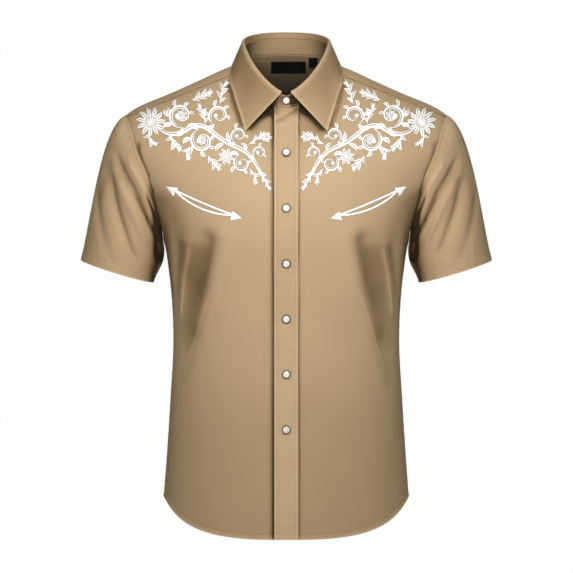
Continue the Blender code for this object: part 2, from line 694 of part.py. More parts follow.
def build_stand():
    """The stand: a band on the neckline whose left end laps over its right one."""
    ends = PLACKET_ANGLE * np.array((-1, -0.93, -0.78, -0.52, 0, 0.52, 0.78, 0.93, 1, 1.5))
    half = half_neck()
    angle = whole_neck(np.concatenate([ends, half[half > PLACKET_ANGLE + STAND_END_CLEAR]]))
    outer = stand_rows(angle, (0.0, 0.35, 0.7, 1.0))
    wall("collar_stand", outer, outer - STIFF_CLOTH * neck_out(angle), "tan_cloth")


def leaf_edge(angle):
    """The leaf's lower edge at these angles, on both sides of the neck."""
    rows = [LeafEdge(360 - row.angle, -row.x, row.y, row.height) for row in LEAF_EDGE[-2::-1]]
    table, at = LEAF_EDGE + tuple(rows), np.degrees(angle)
    return np.stack([between_rows(table, "angle", name, at) for name in "x y height".split()], -1)


def leaf_rows(angle, under):
    """One face of the leaf, from its inner lip over the fold to its edge.

    under is 1 for the face that lies on the stand and 0 for the one that shows."""
    out, crest = neck_out(angle), fold_line(angle)
    wall_left = STIFF_CLOTH * (1 - under)
    radius = FOLD_ROLL + wall_left
    middle = crest - UP * (FOLD_ROLL + STIFF_CLOTH)
    rows = [middle - out * radius - UP * lip(angle)]
    rows += [middle + radius * (UP * math.sin(a) - out * math.cos(a)) for a in ROLL_STEPS]
    start, edge = rows[-1], leaf_edge(angle)
    fall = unit(edge - start)
    face = unit(out - fall * np.sum(out * fall, axis=-1, keepdims=True))
    edge = edge - STIFF_CLOTH * under * face
    bulge = blend(LEAF_BULGE, LEAF_BULGE_SIDE, np.abs(np.sin(angle)))[:, None]
    for share in FALL_STEPS:
        swell = bulge * math.sin(math.pi * share)
        rows.append(blend(start, edge, share) + swell * face)
    return np.array(rows)


ROLL_STEPS = (0.0, math.pi / 3, 2 * math.pi / 3, math.pi)
FALL_STEPS = (0.25, 0.5, 0.75, 1.0)


def build_leaf():
    """The leaf: it leaves the stand's top, turns over the fold and falls to its points."""
    steps = np.radians((14.7, 22, 30, 37, 45, 60, 75, 92, 110, 127, 145, 162, 180))
    angle = whole_neck(np.concatenate([[LEAF_END], steps]))
    wall("collar_leaf", leaf_rows(angle, 0), leaf_rows(angle, 1), "tan_cloth")


# Trim.

PLACKET_LIFT = LAYER_GAP + 0.0001
PLACKET_FACE = PLACKET_LIFT + STIFF_CLOTH


def build_placket():
    """The placket, on the left front and over the right one."""
    x = np.linspace(-PLACKET_HALF_WIDTH, PLACKET_HALF_WIDTH, 4)
    top = neckline(np.arcsin(x / NECK_HALF_WIDTH))[:, 1] - PLACKET_TOP_CLEAR
    share = np.linspace(0, 1, 33)[:, None]
    height = blend(FRONT_HEM, top[None, :], share)
    chart = np.stack([theta_of_x(x[None, :], height), height], axis=-1)
    wall("placket", on_form(chart, -PLACKET_FACE), on_form(chart, -PLACKET_LIFT), "tan_cloth")


def lathe(name, profile, frame, finish):
    """A solid turned about the frame's last axis, from its back centre to its front centre.

    profile lists (radius, rise) and frame is (origin, across, up, outward)."""
    origin, across, up, outward = frame
    shape = bmesh.new()
    centre = [shape.verts.new(origin + outward * rise) for rise in (profile[0][1], profile[-1][1])]
    turns = [2 * math.pi * k / SNAP_SIDES for k in range(SNAP_SIDES)]
    rings = [
        [
            shape.verts.new(
                origin
                + outward * rise
                + radius * (across * math.cos(turn) + up * math.sin(turn))
            )
            for turn in turns
        ]
        for radius, rise in profile[1:-1]
    ]
    for k in range(SNAP_SIDES):
        n = (k + 1) % SNAP_SIDES
        shape.faces.new((centre[0], rings[0][n], rings[0][k]))
        shape.faces.new((centre[1], rings[-1][k], rings[-1][n]))
        for low, high in zip(rings, rings[1:]):
            shape.faces.new((low[k], low[n], high[n], high[k]))
    return finished(name, shape, finish)


def snap_frames():
    """(origin, across, up, outward) of each snap, from the stand's down to the lowest."""
    across = np.array((1.0, 0.0, 0.0))
    angle = np.radians((-1.0, 1.0))
    foot, head = stand_rows(angle, (0.35, 0.7)).mean(axis=1)
    up = unit(head - foot)
    outward = np.cross(across, up)
    origin = foot + up * (STAND_SNAP - foot[2]) / up[2]
    frames = [(origin + outward * SNAP_LIFT, across, up, outward)]
    for k in range(PLACKET_SNAPS):
        height = TOP_SNAP - k * SNAP_SPACING
        outward = form_normal(0.0, height)
        outward = unit(outward * np.array((0.0, 1.0, 1.0)))
        origin = form(0.0, height) + outward * (PLACKET_FACE + SNAP_LIFT)
        frames.append((origin, across, np.cross(outward, across), outward))
    return frames


def build_snaps():
    """Seven snaps: each a pearl in a shallow metal cup."""
    cup = (
        (0, 0),
        (BEZEL_RADIUS - 0.0003, 0),
        (BEZEL_RADIUS, BEZEL_HEIGHT / 2),
        (BEZEL_RADIUS - 0.0002, BEZEL_HEIGHT),
        (PEARL_RADIUS + 0.0003, BEZEL_HEIGHT),
        (PEARL_RADIUS + 0.0003, BEZEL_FLOOR),
        (0, BEZEL_FLOOR),
    )
    pearl = (
        (0, PEARL_BASE),
        (PEARL_RADIUS, PEARL_BASE),
        (PEARL_RADIUS, PEARL_SHOULDER),
        (PEARL_RADIUS * 0.6, PEARL_CROWN - 0.0003),
        (0, PEARL_CROWN),
    )
    for number, frame in enumerate(snap_frames(), start=1):
        lathe(f"snap_cup_{number}", cup, frame, "snap_metal")
        lathe(f"snap_pearl_{number}", pearl, frame, "pearl")


def build_labels():
    """The bare neck label and size tab, on the inner face of the yoke."""
    inset = CLOTH + LABEL_DROP
    for name, size, centre in (
        ("neck_label", LABEL_SIZE, LABEL_CENTRE),
        ("size_tab", SIZE_TAB_SIZE, SIZE_TAB_CENTRE),
    ):
        x = centre[0] + size[0] * np.linspace(-0.5, 0.5, 7)[None, :]
        height = centre[1] + size[1] * np.linspace(-0.5, 0.5, 3)[:, None]
        x, height = np.broadcast_arrays(x, height)
        chart = np.stack([math.pi - theta_of_x(x, height), height], axis=-1)
        wall(name, on_form(chart, inset), on_form(chart, inset + LABEL_WALL), "black_label")


def main():
    """Clears the scene and builds every piece."""
    for leftover in list(bpy.data.objects):
        bpy.data.objects.remove(leftover)
    build_fronts()
    build_back()
    build_yoke()
    build_sleeves()
    build_stand()
    build_leaf()
    build_placket()
    build_snaps()
    build_labels()


main()
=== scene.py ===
"""The looks of a short sleeve western shirt, filled out as if it were worn.

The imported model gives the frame. Every cloth piece is a thin shell on the same form as its solid:
a smooth surface through level sections, with the large folds of the solids and finer creases on
top. Metres, +Z up, the front faces -Y and the wearer's left side is +X.
"""

from __future__ import annotations

import logging
import math
from dataclasses import dataclass, field, replace
from enum import Enum
from typing import Callable, NamedTuple, Sequence

import bpy
import numpy as np
from mathutils import Matrix, Vector

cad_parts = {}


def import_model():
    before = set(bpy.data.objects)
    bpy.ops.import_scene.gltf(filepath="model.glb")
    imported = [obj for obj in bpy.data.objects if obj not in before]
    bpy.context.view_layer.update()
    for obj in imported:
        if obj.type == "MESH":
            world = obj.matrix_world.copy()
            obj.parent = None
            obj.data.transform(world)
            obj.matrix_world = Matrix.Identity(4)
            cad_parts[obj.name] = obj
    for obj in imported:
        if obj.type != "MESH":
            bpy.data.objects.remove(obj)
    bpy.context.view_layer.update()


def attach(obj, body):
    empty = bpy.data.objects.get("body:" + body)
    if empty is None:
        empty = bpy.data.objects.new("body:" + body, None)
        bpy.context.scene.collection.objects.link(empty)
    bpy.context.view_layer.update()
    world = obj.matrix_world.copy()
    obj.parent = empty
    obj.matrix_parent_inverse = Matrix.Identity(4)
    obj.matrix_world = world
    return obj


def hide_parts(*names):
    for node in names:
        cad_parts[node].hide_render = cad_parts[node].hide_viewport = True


LOG = logging.getLogger("shirt")
Array = np.ndarray
Piece = bpy.types.Object
Finish = bpy.types.Material
Socket = bpy.types.NodeSocket
Pair = tuple[float, float]
Triple = tuple[float, float, float]
Colour = Triple
Spot = Pair | Array
Line = tuple[Array, Array]
UP = np.array((0.0, 0.0, 1.0))


class Side(Enum):
    """A side of the wearer, by the sign of its x."""

    LEFT = 1.0
    RIGHT = -1.0

    @property
    def word(self) -> str:
        """Its name in the names of pieces."""
        return self.name.lower()


class Edge(Enum):
    """An edge of a cloth grid: columns run from START to END, and rows from FOOT to HEAD."""

    START = "start"
    END = "end"
    FOOT = "foot"
    HEAD = "head"

    @property
    def axis(self) -> int:
        """The axis of the grid that leads away from it: 1 for a first or last column."""
        return int(self in (Edge.START, Edge.END))

    @property
    def is_far(self) -> bool:
        """Whether it is the last column or row."""
        return self in (Edge.END, Edge.HEAD)


class Section(NamedTuple):
    """A level section of the form, with its depths measured from the shoulder ridge."""

    height: float
    half_width: float
    front: float
    back: float
    ridge: float
    squareness: float


class Fold(NamedTuple):
    """A soft trough (rise below zero) or ridge between two places on a piece.

    Its shade is painted shade (below zero) or painted light on the cloth there, as in a deep crease
    or on a lit ridge. Its fade is the share of it that is lost from FADE_START of the way on to its
    end.
    """

    start_turn: float
    start_place: float
    end_turn: float
    end_place: float
    width: float
    rise: float
    shade: float = 0.0
    fade: float = 0.0


class Shadow(NamedTuple):
    """A line of painted shade beside the placket, some way outside its edge."""

    outside: float
    width: float
    shade: float


class NeckHeight(NamedTuple):
    """The neckline's height at an angle from the centre front."""

    angle: float
    height: float


class LeafEdge(NamedTuple):
    """A point of the collar leaf's lower edge, by the angle round the neck."""

    angle: float
    x: float
    y: float
    height: float


SECTIONS = (
    Section(-0.76, 0.1865, 0.128, 0.127, 0.008, 2.35),
    Section(-0.711, 0.186, 0.128, 0.126, 0.008, 2.35),
    Section(-0.645, 0.1836, 0.127, 0.123, 0.008, 2.35),
    Section(-0.58, 0.179, 0.125, 0.119, 0.008, 2.35),
    Section(-0.501, 0.174, 0.123, 0.112, 0.008, 2.35),
    Section(-0.404, 0.1695, 0.122, 0.106, 0.009, 2.35),
    Section(-0.313, 0.1755, 0.127, 0.112, 0.01, 2.4),
    Section(-0.262, 0.184, 0.129, 0.117, 0.01, 2.4),
    Section(-0.215, 0.202, 0.126, 0.121, 0.01, 2.4),
    Section(-0.168, 0.229, 0.116, 0.121, 0.011, 2.4),
    Section(-0.12, 0.252, 0.1, 0.117, 0.012, 2.35),
    Section(-0.09, 0.25, 0.085, 0.11, 0.012, 2.25),
    Section(-0.073, 0.2395, 0.075, 0.105, 0.012, 2.15),
    Section(-0.06, 0.219, 0.066, 0.1, 0.012, 2.08),
    Section(-0.042, 0.176, 0.053, 0.092, 0.012, 2),
    Section(-0.024, 0.1355, 0.039, 0.084, 0.012, 2),
    Section(-0.006, 0.0965, 0.025, 0.07, 0.014, 2),
    Section(0.0045, 0.0725, 0.019, 0.056, 0.02, 2),
    Section(0.012, 0.064, 0.017, 0.041, 0.029, 2),
    Section(0.016, 0.056, 0.014, 0.03, 0.036, 2),
    Section(0.02, 0.04, 0.01, 0.015, 0.045, 2),
)
NECKLINE = (
    NeckHeight(-22, -0.0565),
    NeckHeight(0, -0.062),
    NeckHeight(22, -0.0565),
    NeckHeight(45, -0.037),
    NeckHeight(68, -0.0125),
    NeckHeight(90, 0.0035),
    NeckHeight(115, 0.0105),
    NeckHeight(145, 0.0148),
    NeckHeight(180, 0.016),
    NeckHeight(215, 0.0148),
)
LEAF_EDGE = (
    LeafEdge(6.5, 0.0618, -0.0787, -0.0975),
    LeafEdge(17, 0.0665, -0.07, -0.081),
    LeafEdge(31, 0.0725, -0.057, -0.062),
    LeafEdge(46, 0.0785, -0.0405, -0.042),
    LeafEdge(65, 0.0843, -0.023, -0.0235),
    LeafEdge(76, 0.0848, -0.009, -0.012),
    LeafEdge(87, 0.0822, 0.006, -0.0005),
    LeafEdge(113, 0.0765, 0.0405, 0.0035),
    LeafEdge(135, 0.063, 0.061, 0.003),
    LeafEdge(158, 0.034, 0.078, 0.003),
    LeafEdge(180, 0, 0.084, 0.003),
)
# The solids' large folds. On the body a place is an angle in degrees, above zero on the wearer's
# left, and a height. On a sleeve it is a turn about the armhole and a share of the way to the cuff.
BODY_FOLDS = (
    Fold(37, -0.262, 53, -0.41, 0.014, -0.0065, -0.35, 0.8),
    Fold(29, -0.256, 43, -0.405, 0.013, 0.003, 0, 0.8),
    Fold(50, -0.27, 63, -0.365, 0.01, 0.003, 0, 0.5),
    Fold(-38, -0.26, -53, -0.405, 0.014, -0.0065, -0.35, 0.8),
    Fold(-29, -0.256, -43, -0.4, 0.013, 0.003, 0, 0.8),
    Fold(-49, -0.268, -63, -0.36, 0.01, 0.003, 0, 0.5),
    Fold(131, -0.235, 138, -0.42, 0.017, -0.006, -0.15),
    Fold(-132, -0.24, -137, -0.4, 0.017, -0.006, -0.15),
    Fold(172, -0.33, 166, -0.52, 0.018, -0.004),
)
SLEEVE_FOLDS = {
    Side.LEFT: (
        Fold(48, 0.345, 116, 0.295, 0.011, -0.0055, -0.3),
        Fold(46, 0.495, 104, 0.71, 0.012, -0.0048, -0.25, 0.6),
        Fold(64, 0.42, 118, 0.5, 0.011, 0.0026),
        Fold(240, 0.25, 290, 0.75, 0.012, -0.005, -0.15),
    ),
    Side.RIGHT: (
        Fold(48, 0.325, 116, 0.29, 0.011, -0.0055, -0.3),
        Fold(42, 0.465, 110, 0.75, 0.012, -0.0048, -0.25, 0.6),
        Fold(64, 0.42, 118, 0.51, 0.011, 0.0026),
        Fold(238, 0.25, 292, 0.7, 0.012, -0.005, -0.15),
    ),
}
# Finer creases of the looks alone, with painted shade and painted light along most of them.
BODY_CREASES = (
    Fold(38.5, -0.345, 58, -0.465, 0.0026, 0.0006, 0.4),
    Fold(37, -0.262, 53, -0.405, 0.0085, -0.0018, -0.4, 0.75),
    Fold(48.5, -0.277, 64, -0.37, 0.0028, 0.0014, 0.55),
    Fold(56, -0.277, 70, -0.34, 0.0095, -0.002, -0.5),
    Fold(70, -0.24, 80, -0.3, 0.02, 0, -0.35),
    Fold(52, -0.4, 60, -0.47, 0.014, -0.0018, -0.25),
    Fold(-41.5, -0.352, -60, -0.462, 0.0026, 0.0006, 0.4),
    Fold(-37, -0.262, -54, -0.402, 0.0085, -0.0018, -0.42, 0.75),
    Fold(-48.6, -0.274, -63.5, -0.372, 0.0028, 0.0014, 0.55),
    Fold(-57, -0.27, -67, -0.335, 0.01, -0.002, -0.62),
    Fold(-70, -0.24, -80, -0.3, 0.02, 0, -0.35),
    Fold(-52, -0.4, -60, -0.46, 0.014, -0.0018, -0.25),
    Fold(118, -0.262, 128, -0.34, 0.007, -0.0022, -0.2),
    Fold(150, -0.2, 146, -0.33, 0.012, -0.0016, -0.1),
    Fold(165, -0.42, 160, -0.6, 0.013, 0.0016),
    Fold(-119, -0.262, -129, -0.335, 0.007, -0.0022, -0.2),
    Fold(-151, -0.2, -147, -0.33, 0.012, -0.0016, -0.1),
    Fold(-158, -0.43, -164, -0.61, 0.013, -0.0018),
)
# Painted shade where the arms and the collar keep the light away: along the armholes and down
# to the waist folds, and under the leaf.
BODY_SHADOWS = (
    Fold(57, -0.118, 59, -0.162, 0.0036, 0, -0.9),
    Fold(60, -0.2, 68, -0.25, 0.014, 0, -0.6),
    Fold(54, -0.205, 54, -0.295, 0.019, 0, -0.42, 0.3),
    Fold(45, -0.28, 57, -0.405, 0.02, 0, -0.85, 0.4),
    Fold(50, -0.34, 53, -0.4, 0.015, 0, -0.25),
    Fold(72, -0.265, 80, -0.36, 0.012, 0, -0.55),
    Fold(5.2, -0.054, 7.4, -0.0665, 0.008, 0, -2.2),
    Fold(7.4, -0.0665, 12.6, -0.093, 0.0045, 0, -1.7),
    Fold(9.8, -0.08, 12, -0.093, 0.011, 0, -0.7),
    Fold(8, -0.082, 7.5, -0.1, 0.018, 0, -0.35),
    Fold(-57, -0.118, -59, -0.164, 0.0038, 0, -1.4),
    Fold(-60, -0.2, -68, -0.25, 0.014, 0, -0.6),
    Fold(-53, -0.205, -54, -0.3, 0.021, 0, -0.62, 0.1),
    Fold(-45, -0.28, -57, -0.405, 0.02, 0, -0.85, 0.3),
    Fold(-49, -0.33, -53, -0.39, 0.018, 0, -0.3),
    Fold(-72, -0.265, -80, -0.36, 0.012, 0, -0.55),
    Fold(-82, -0.29, -78, -0.33, 0.012, 0, -0.6),
    Fold(-5.2, -0.054, -7.4, -0.0665, 0.0085, 0, -2.6),
    Fold(-7.4, -0.0665, -12.4, -0.093, 0.0045, 0, -1.8),
    Fold(-8, -0.082, -7.5, -0.1, 0.018, 0, -0.42),
)
# The painted shadow along each outer edge of the collar leaf, in four steps with the curve.
LEAF_CONTACTS = tuple(
    Fold(side.value * start, high, side.value * end, low, 0.0025, 0.0, shade)
    for side, shade in ((Side.LEFT, -1.1), (Side.RIGHT, -1.6))
    for start, high, end, low in (
        (42.0, -0.0215, 29.2, -0.0388),
        (28.0, -0.0410, 22.0, -0.0550),
        (21.0, -0.0580, 17.5, -0.0720),
        (17.0, -0.0757, 15.4, -0.0890),
    )
)
# The sleeves' finer creases, with painted shade along them.
SLEEVE_CREASES = {
    Side.LEFT: (
        Fold(54, 0.335, 112, 0.295, 0.005, -0.0018, -0.4),
        Fold(58, 0.53, 102, 0.69, 0.006, -0.0012, -0.3),
        Fold(24, 0.65, 78, 0.89, 0.01, -0.003, -0.2, 0.6),
        Fold(38, 0.4, 30, 0.56, 0.009, 0, -0.2),
        Fold(215, 0.12, 250, 0.4, 0.006, -0.002, -0.2),
        Fold(300, 0.3, 330, 0.7, 0.01, -0.0018, -0.1),
    ),
    Side.RIGHT: (
        Fold(54, 0.32, 112, 0.29, 0.005, -0.0018, -0.5),
        Fold(46, 0.47, 108, 0.725, 0.0055, -0.0012, -0.5),
        Fold(21, 0.63, 74, 0.89, 0.01, -0.003, -0.2, 0.6),
        Fold(36, 0.38, 31, 0.6, 0.009, 0, -0.5),
        Fold(217, 0.12, 252, 0.4, 0.006, -0.002, -0.2),
        Fold(298, 0.3, 328, 0.7, 0.01, -0.0018, -0.1),
    ),
}
# Painted light where a sleeve catches the light, on its cap and its outer side. Both reach over
# the top of the armhole, where a turn starts again at 0, so they are given on both sides of it.
SLEEVE_LIGHTS = tuple(
    Fold(start + whole, near, end + whole, far, width, 0.0, shade)
    for start, near, end, far, width, shade in (
        (12, 0.04, 30, 0.12, 0.0180, 1.30),
        (3, 0.42, 3, 0.95, 0.0130, 0.90),
    )
    for whole in (0, 360)
)
# Creases on both sleeves, and painted shade where the body keeps the light from them: along the
# armhole, and down the inner side.
SLEEVE_HOLLOWS = (
    Fold(116, 0.29, 140, 0.22, 0.006, -0.002, -0.5),
    Fold(66, 0.2, 108, 0.16, 0.008, 0.0016, 0.1),
    Fold(55, 0, 100, 0.01, 0.004, 0, -1.1),
    Fold(88, 0.325, 112, 0.29, 0.005, 0, -0.6),
    Fold(105, 0.045, 140, 0.07, 0.014, -0.003, -1.9),
    Fold(103, 0.16, 122, 0.15, 0.0065, -0.0015, -1.8),
    Fold(122, 0.17, 148, 0.46, 0.012, -0.0015, -1.8),
    Fold(140, 0.12, 168, 0.36, 0.019, 0, -1.9),
    Fold(150, 0.44, 162, 0.95, 0.019, 0, -1.8),
)
# Painted shadows on each front beside the placket's edge.
PLACKET_SHADOWS = {
    Side.LEFT: (Shadow(0.0006, 0.0016, -1.30), Shadow(0.0, 0.0050, -0.15)),
    Side.RIGHT: (Shadow(0.0018, 0.0027, -1.75), Shadow(0.0, 0.0060, -0.20)),
}
# What a turn of one radian and a place of 1 measure along the cloth.
BODY_SCALE = (0.16, 1.0)
SLEEVE_SCALE = (0.07, 0.23)
FADE_START = 0.3
TINY = 1e-12


def unit(vectors: Array) -> Array:
    """The vectors at length one."""
    return vectors / np.maximum(np.linalg.norm(vectors, axis=-1, keepdims=True), TINY)


def blend(start: Array | float, end: Array | float, share: Array | float) -> Array:
    """The value that share of the way from start to end."""
    return start + (end - start) * share


def ease(share: Array) -> Array:
    """A smooth step from 0 to 1."""
    held = np.clip(share, 0, 1)
    return held * held * (3 - 2 * held)


def smooth_step(values: Array, start: float, span: float) -> Array:
    """A smooth step: 0 up to start, and 1 where the span ends. It may run downwards."""
    return ease((values - start) / span)


def hump(apart: Array, width: float) -> Array:
    """A soft hump: 1 where apart is 0, and next to nothing at twice the width."""
    return np.exp(-((apart / width) ** 2))


def curve(ends: Sequence[Array], ways: Sequence[Array], t: Array) -> Array:
    """A smooth cubic between two values that leaves and arrives in these ways, at shares t."""
    middle = ends[0] * (1 + 2 * t) * (1 - t) ** 2 + ways[0] * t * (1 - t) ** 2
    return middle + ends[1] * t * t * (3 - 2 * t) - ways[1] * t * t * (1 - t)


def charted(theta: Array | float, height: Array | float) -> Array:
    """Chart positions from angles and heights."""
    return np.stack(np.broadcast_arrays(theta, height), axis=-1)


def parts(chart: Array) -> tuple[Array, Array]:
    """The angles and the heights of chart positions."""
    return chart[..., 0], chart[..., 1]


def between_rows(table: Sequence[NamedTuple], name: str, at: Array) -> Array:
    """A column of a table, on a smooth curve through its rows.

    Args:
        table: Rows in rising order of their first column.
        name: The column to read.
        at: Values of the first column to read it at.

    Returns:
        The column's values there.
    """
    keys = np.array([row[0] for row in table])
    values = np.array([getattr(row, name) for row in table])
    slopes = np.gradient(values, keys)
    i = np.clip(np.searchsorted(keys, at) - 1, 0, len(keys) - 2)
    gap = keys[i + 1] - keys[i]
    ways = slopes[i] * gap, slopes[i + 1] * gap
    return curve((values[i], values[i + 1]), ways, (at - keys[i]) / gap)


def fold_sum(
    folds: Sequence[Fold], turn: Array, place: Array, scale: Pair, name: str = "rise"
) -> Array:
    """How far folds lift the cloth, or how they shade it.

    Args:
        folds: The troughs and ridges.
        turn: Angles in radians.
        place: Heights, or shares of a length.
        scale: Turns angles and places into lengths.
        name: What to add up, "rise" or "shade".

    Returns:
        The rise or shade at each turn and place.
    """
    radius, length = scale
    total = np.zeros(np.broadcast(turn, place).shape)
    for fold in folds:
        start = math.radians(fold.start_turn) * radius, fold.start_place * length
        run = math.radians(fold.end_turn) * radius - start[0], fold.end_place * length - start[1]
        across, along = turn * radius - start[0], place * length - start[1]
        share = np.clip((across * run[0] + along * run[1]) / (run[0] ** 2 + run[1] ** 2), 0, 1)
        apart = (across - share * run[0]) ** 2 + (along - share * run[1]) ** 2
        kept = 1 - fold.fade * smooth_step(share, FADE_START, 1 - FADE_START)
        total = total + getattr(fold, name) * kept * np.exp(-apart / fold.width**2)
    return total


@dataclass
class Form:
    """The filled-out shape of the body, neck and armholes, in charts of (angle, height)."""

    underarm: float = -0.262
    shoulder_point: float = -0.073
    armhole_front: float = 0.063
    armhole_back: float = 0.055
    neck_half_width: float = 0.070
    widest: float = 0.99999  # Just short of the side, where an angle has no tangent.
    # Painted shade grows from the waist down over hem_fade, up to hem_dimness.
    waist: float = -0.38
    hem_dimness: float = 0.34
    hem_fade: float = 0.20
    folds: tuple[Fold, ...] = BODY_FOLDS + BODY_CREASES + BODY_SHADOWS + LEAF_CONTACTS

    def column(self, name: str, height: Array) -> Array:
        """A column of the sections at these heights."""
        return between_rows(SECTIONS, name, height)

    def depth(self, front: Array, height: Array) -> Array:
        """The depth from the ridge, to the front where front is true and else to the back."""
        return np.where(front, self.column("front", height), self.column("back", height))

    def point(self, theta: Array, height: Array) -> Array:
        """Points of the form: theta turns from the centre front past the side to the back."""
        theta, height = np.broadcast_arrays(theta, height)
        sine, cosine = np.sin(theta), np.cos(theta)
        power = self.column("squareness", height)
        reach = (np.abs(sine) ** power + np.abs(cosine) ** power) ** (-1 / power)
        rise = fold_sum(self.folds, theta, height, BODY_SCALE)
        x = self.column("half_width", height) * reach * sine + rise * sine
        y = self.column("ridge", height) - (self.depth(cosine > 0, height) * reach + rise) * cosine
        return np.stack([x, y, height], axis=-1)

    def normal(self, chart: Array) -> Array:
        """Outward normals at chart positions, from short steps along the form."""
        around, upward = np.array((2e-4, 0.0)), np.array((0.0, 2e-4))
        ways = (self.at(chart + way) - self.at(chart - way) for way in (around, upward))
        return unit(np.cross(*ways))

    def shade(self, chart: Array) -> Array:
        """Painted shade and light at chart positions, with more painted shade towards the hem."""
        folds = fold_sum(self.folds, *parts(chart), BODY_SCALE, "shade")
        return folds - self.hem_dimness * smooth_step(chart[..., 1], self.waist, -self.hem_fade)

    def at(self, chart: Array, lift: Array | float = 0.0) -> Array:
        """Points of the form at chart positions, moved out along its normals."""
        points = self.point(*parts(chart))
        lift = np.broadcast_to(lift, points.shape[:-1])[..., None]
        return points + lift * self.normal(chart) if lift.any() else points

    def theta_of_x(self, x: Array, height: Array) -> Array:
        """The angle at which the front of the form has this x at this height."""
        power = self.column("squareness", height)
        share = np.clip(np.abs(x) / self.column("half_width", height), 0, self.widest)
        return np.sign(x) * np.arctan(share / (1 - share**power) ** (1 / power))

    @property
    def armhole_heights(self) -> Pair:
        """The height of the armhole's middle, and half the armhole's height."""
        middle = (self.shoulder_point + self.underarm) / 2
        return middle, self.shoulder_point - middle

    def armhole(self, turn: Array) -> Array:
        """Chart positions on the left armhole, from its top by the front to the underarm."""
        middle, half = self.armhole_heights
        height = middle + half * np.cos(turn)
        front = np.sin(turn) >= 0
        reach = np.where(front, self.armhole_front, self.armhole_back) * np.abs(np.sin(turn))
        reach = reach / self.depth(front, height)
        power = self.column("squareness", height)
        theta = np.arctan2((1 - reach**power) ** (1 / power), reach)
        return charted(np.where(front, theta, math.pi - theta), height)

    def neckline(self, angle: Array) -> Array:
        """Chart positions on the neckline: angle turns from the centre front to the back."""
        from_front = np.degrees(np.arccos(np.cos(angle)))
        height = between_rows(NECKLINE, "height", from_front)
        width = np.abs(np.sin(angle)) * self.neck_half_width
        theta = self.theta_of_x(np.minimum(width, self.column("half_width", height)), height)
        theta = np.where(np.cos(angle) > 0, theta, math.pi - theta)
        return charted(theta * np.sign(np.sin(angle) + TINY), height)


FORM = Form()


# Cloth grids and the pieces made from them.

CLOTH = 0.0012
STIFF_CLOTH = 0.0015
SEAM_GAP = 0.0004
LAYER_GAP = 0.0004
SEAM_ALLOWANCE = 0.01
CUT_AREA = 1.06  # What is cut for a panel, over the area that shows.
BATCH = 2000  # Points whose distances from an edge are measured in one go.


def run_of(points: Array, axis: int = 0) -> Array:
    """The distance of each point from the first one, along an axis of their grid."""
    steps = np.linalg.norm(np.diff(points, axis=axis), axis=-1)
    start = np.zeros_like(np.take(steps, [0], axis=axis))
    return np.concatenate([start, np.cumsum(steps, axis=axis)], axis=axis)


class Faces(NamedTuple):
    """The materials of a sheet's outer and inner faces."""

    outer: Finish
    inner: Finish


@dataclass(frozen=True)
class Seam:
    """A stitched edge of a sheet: its folded band stands up, with a groove and puckers beside it.

    Its groove has painted shade and its very edge painted light, measured as a fold's shade is.
    """

    edge: Edge
    inset: float
    band: float = 0.0005
    groove: float = 0.0004
    pucker: float = 0.0002
    shade: float = -0.25
    light: float = 0.5
    lit: float = 0.0013
    pitch: float = 0.013
    band_slope: float = 0.0016
    groove_width: float = 0.0013
    shade_width: float = 0.0012

    def lift(self, away: Array, run: Array, number: int) -> Array:
        """How far the seam lifts the cloth.

        Args:
            away: Each point's distance from the edge.
            run: Its place along the edge.
            number: Tells the puckers of one seam from those of the next.

        Returns:
            The lift of each point.
        """
        wave = np.sin(2 * math.pi * run / self.pitch + 2.3 * np.sin(run / 0.031) + number)
        wave = wave * (0.6 + 0.4 * np.sin(run / 0.023 + 2 * number))
        past = away - self.inset
        lift = self.band * (1 - ease((past + self.band_slope / 2) / self.band_slope))
        lift = lift - self.groove * hump(past, self.groove_width)
        return lift + self.pucker * wave * hump(past, 1.3 * self.inset + 0.004)

    def tone(self, away: Array) -> Array:
        """Painted shade in its groove and painted light at its edge, by distance from the edge."""
        light = self.light * hump(away, self.lit)
        return self.shade * hump(away - self.inset, self.shade_width) + light


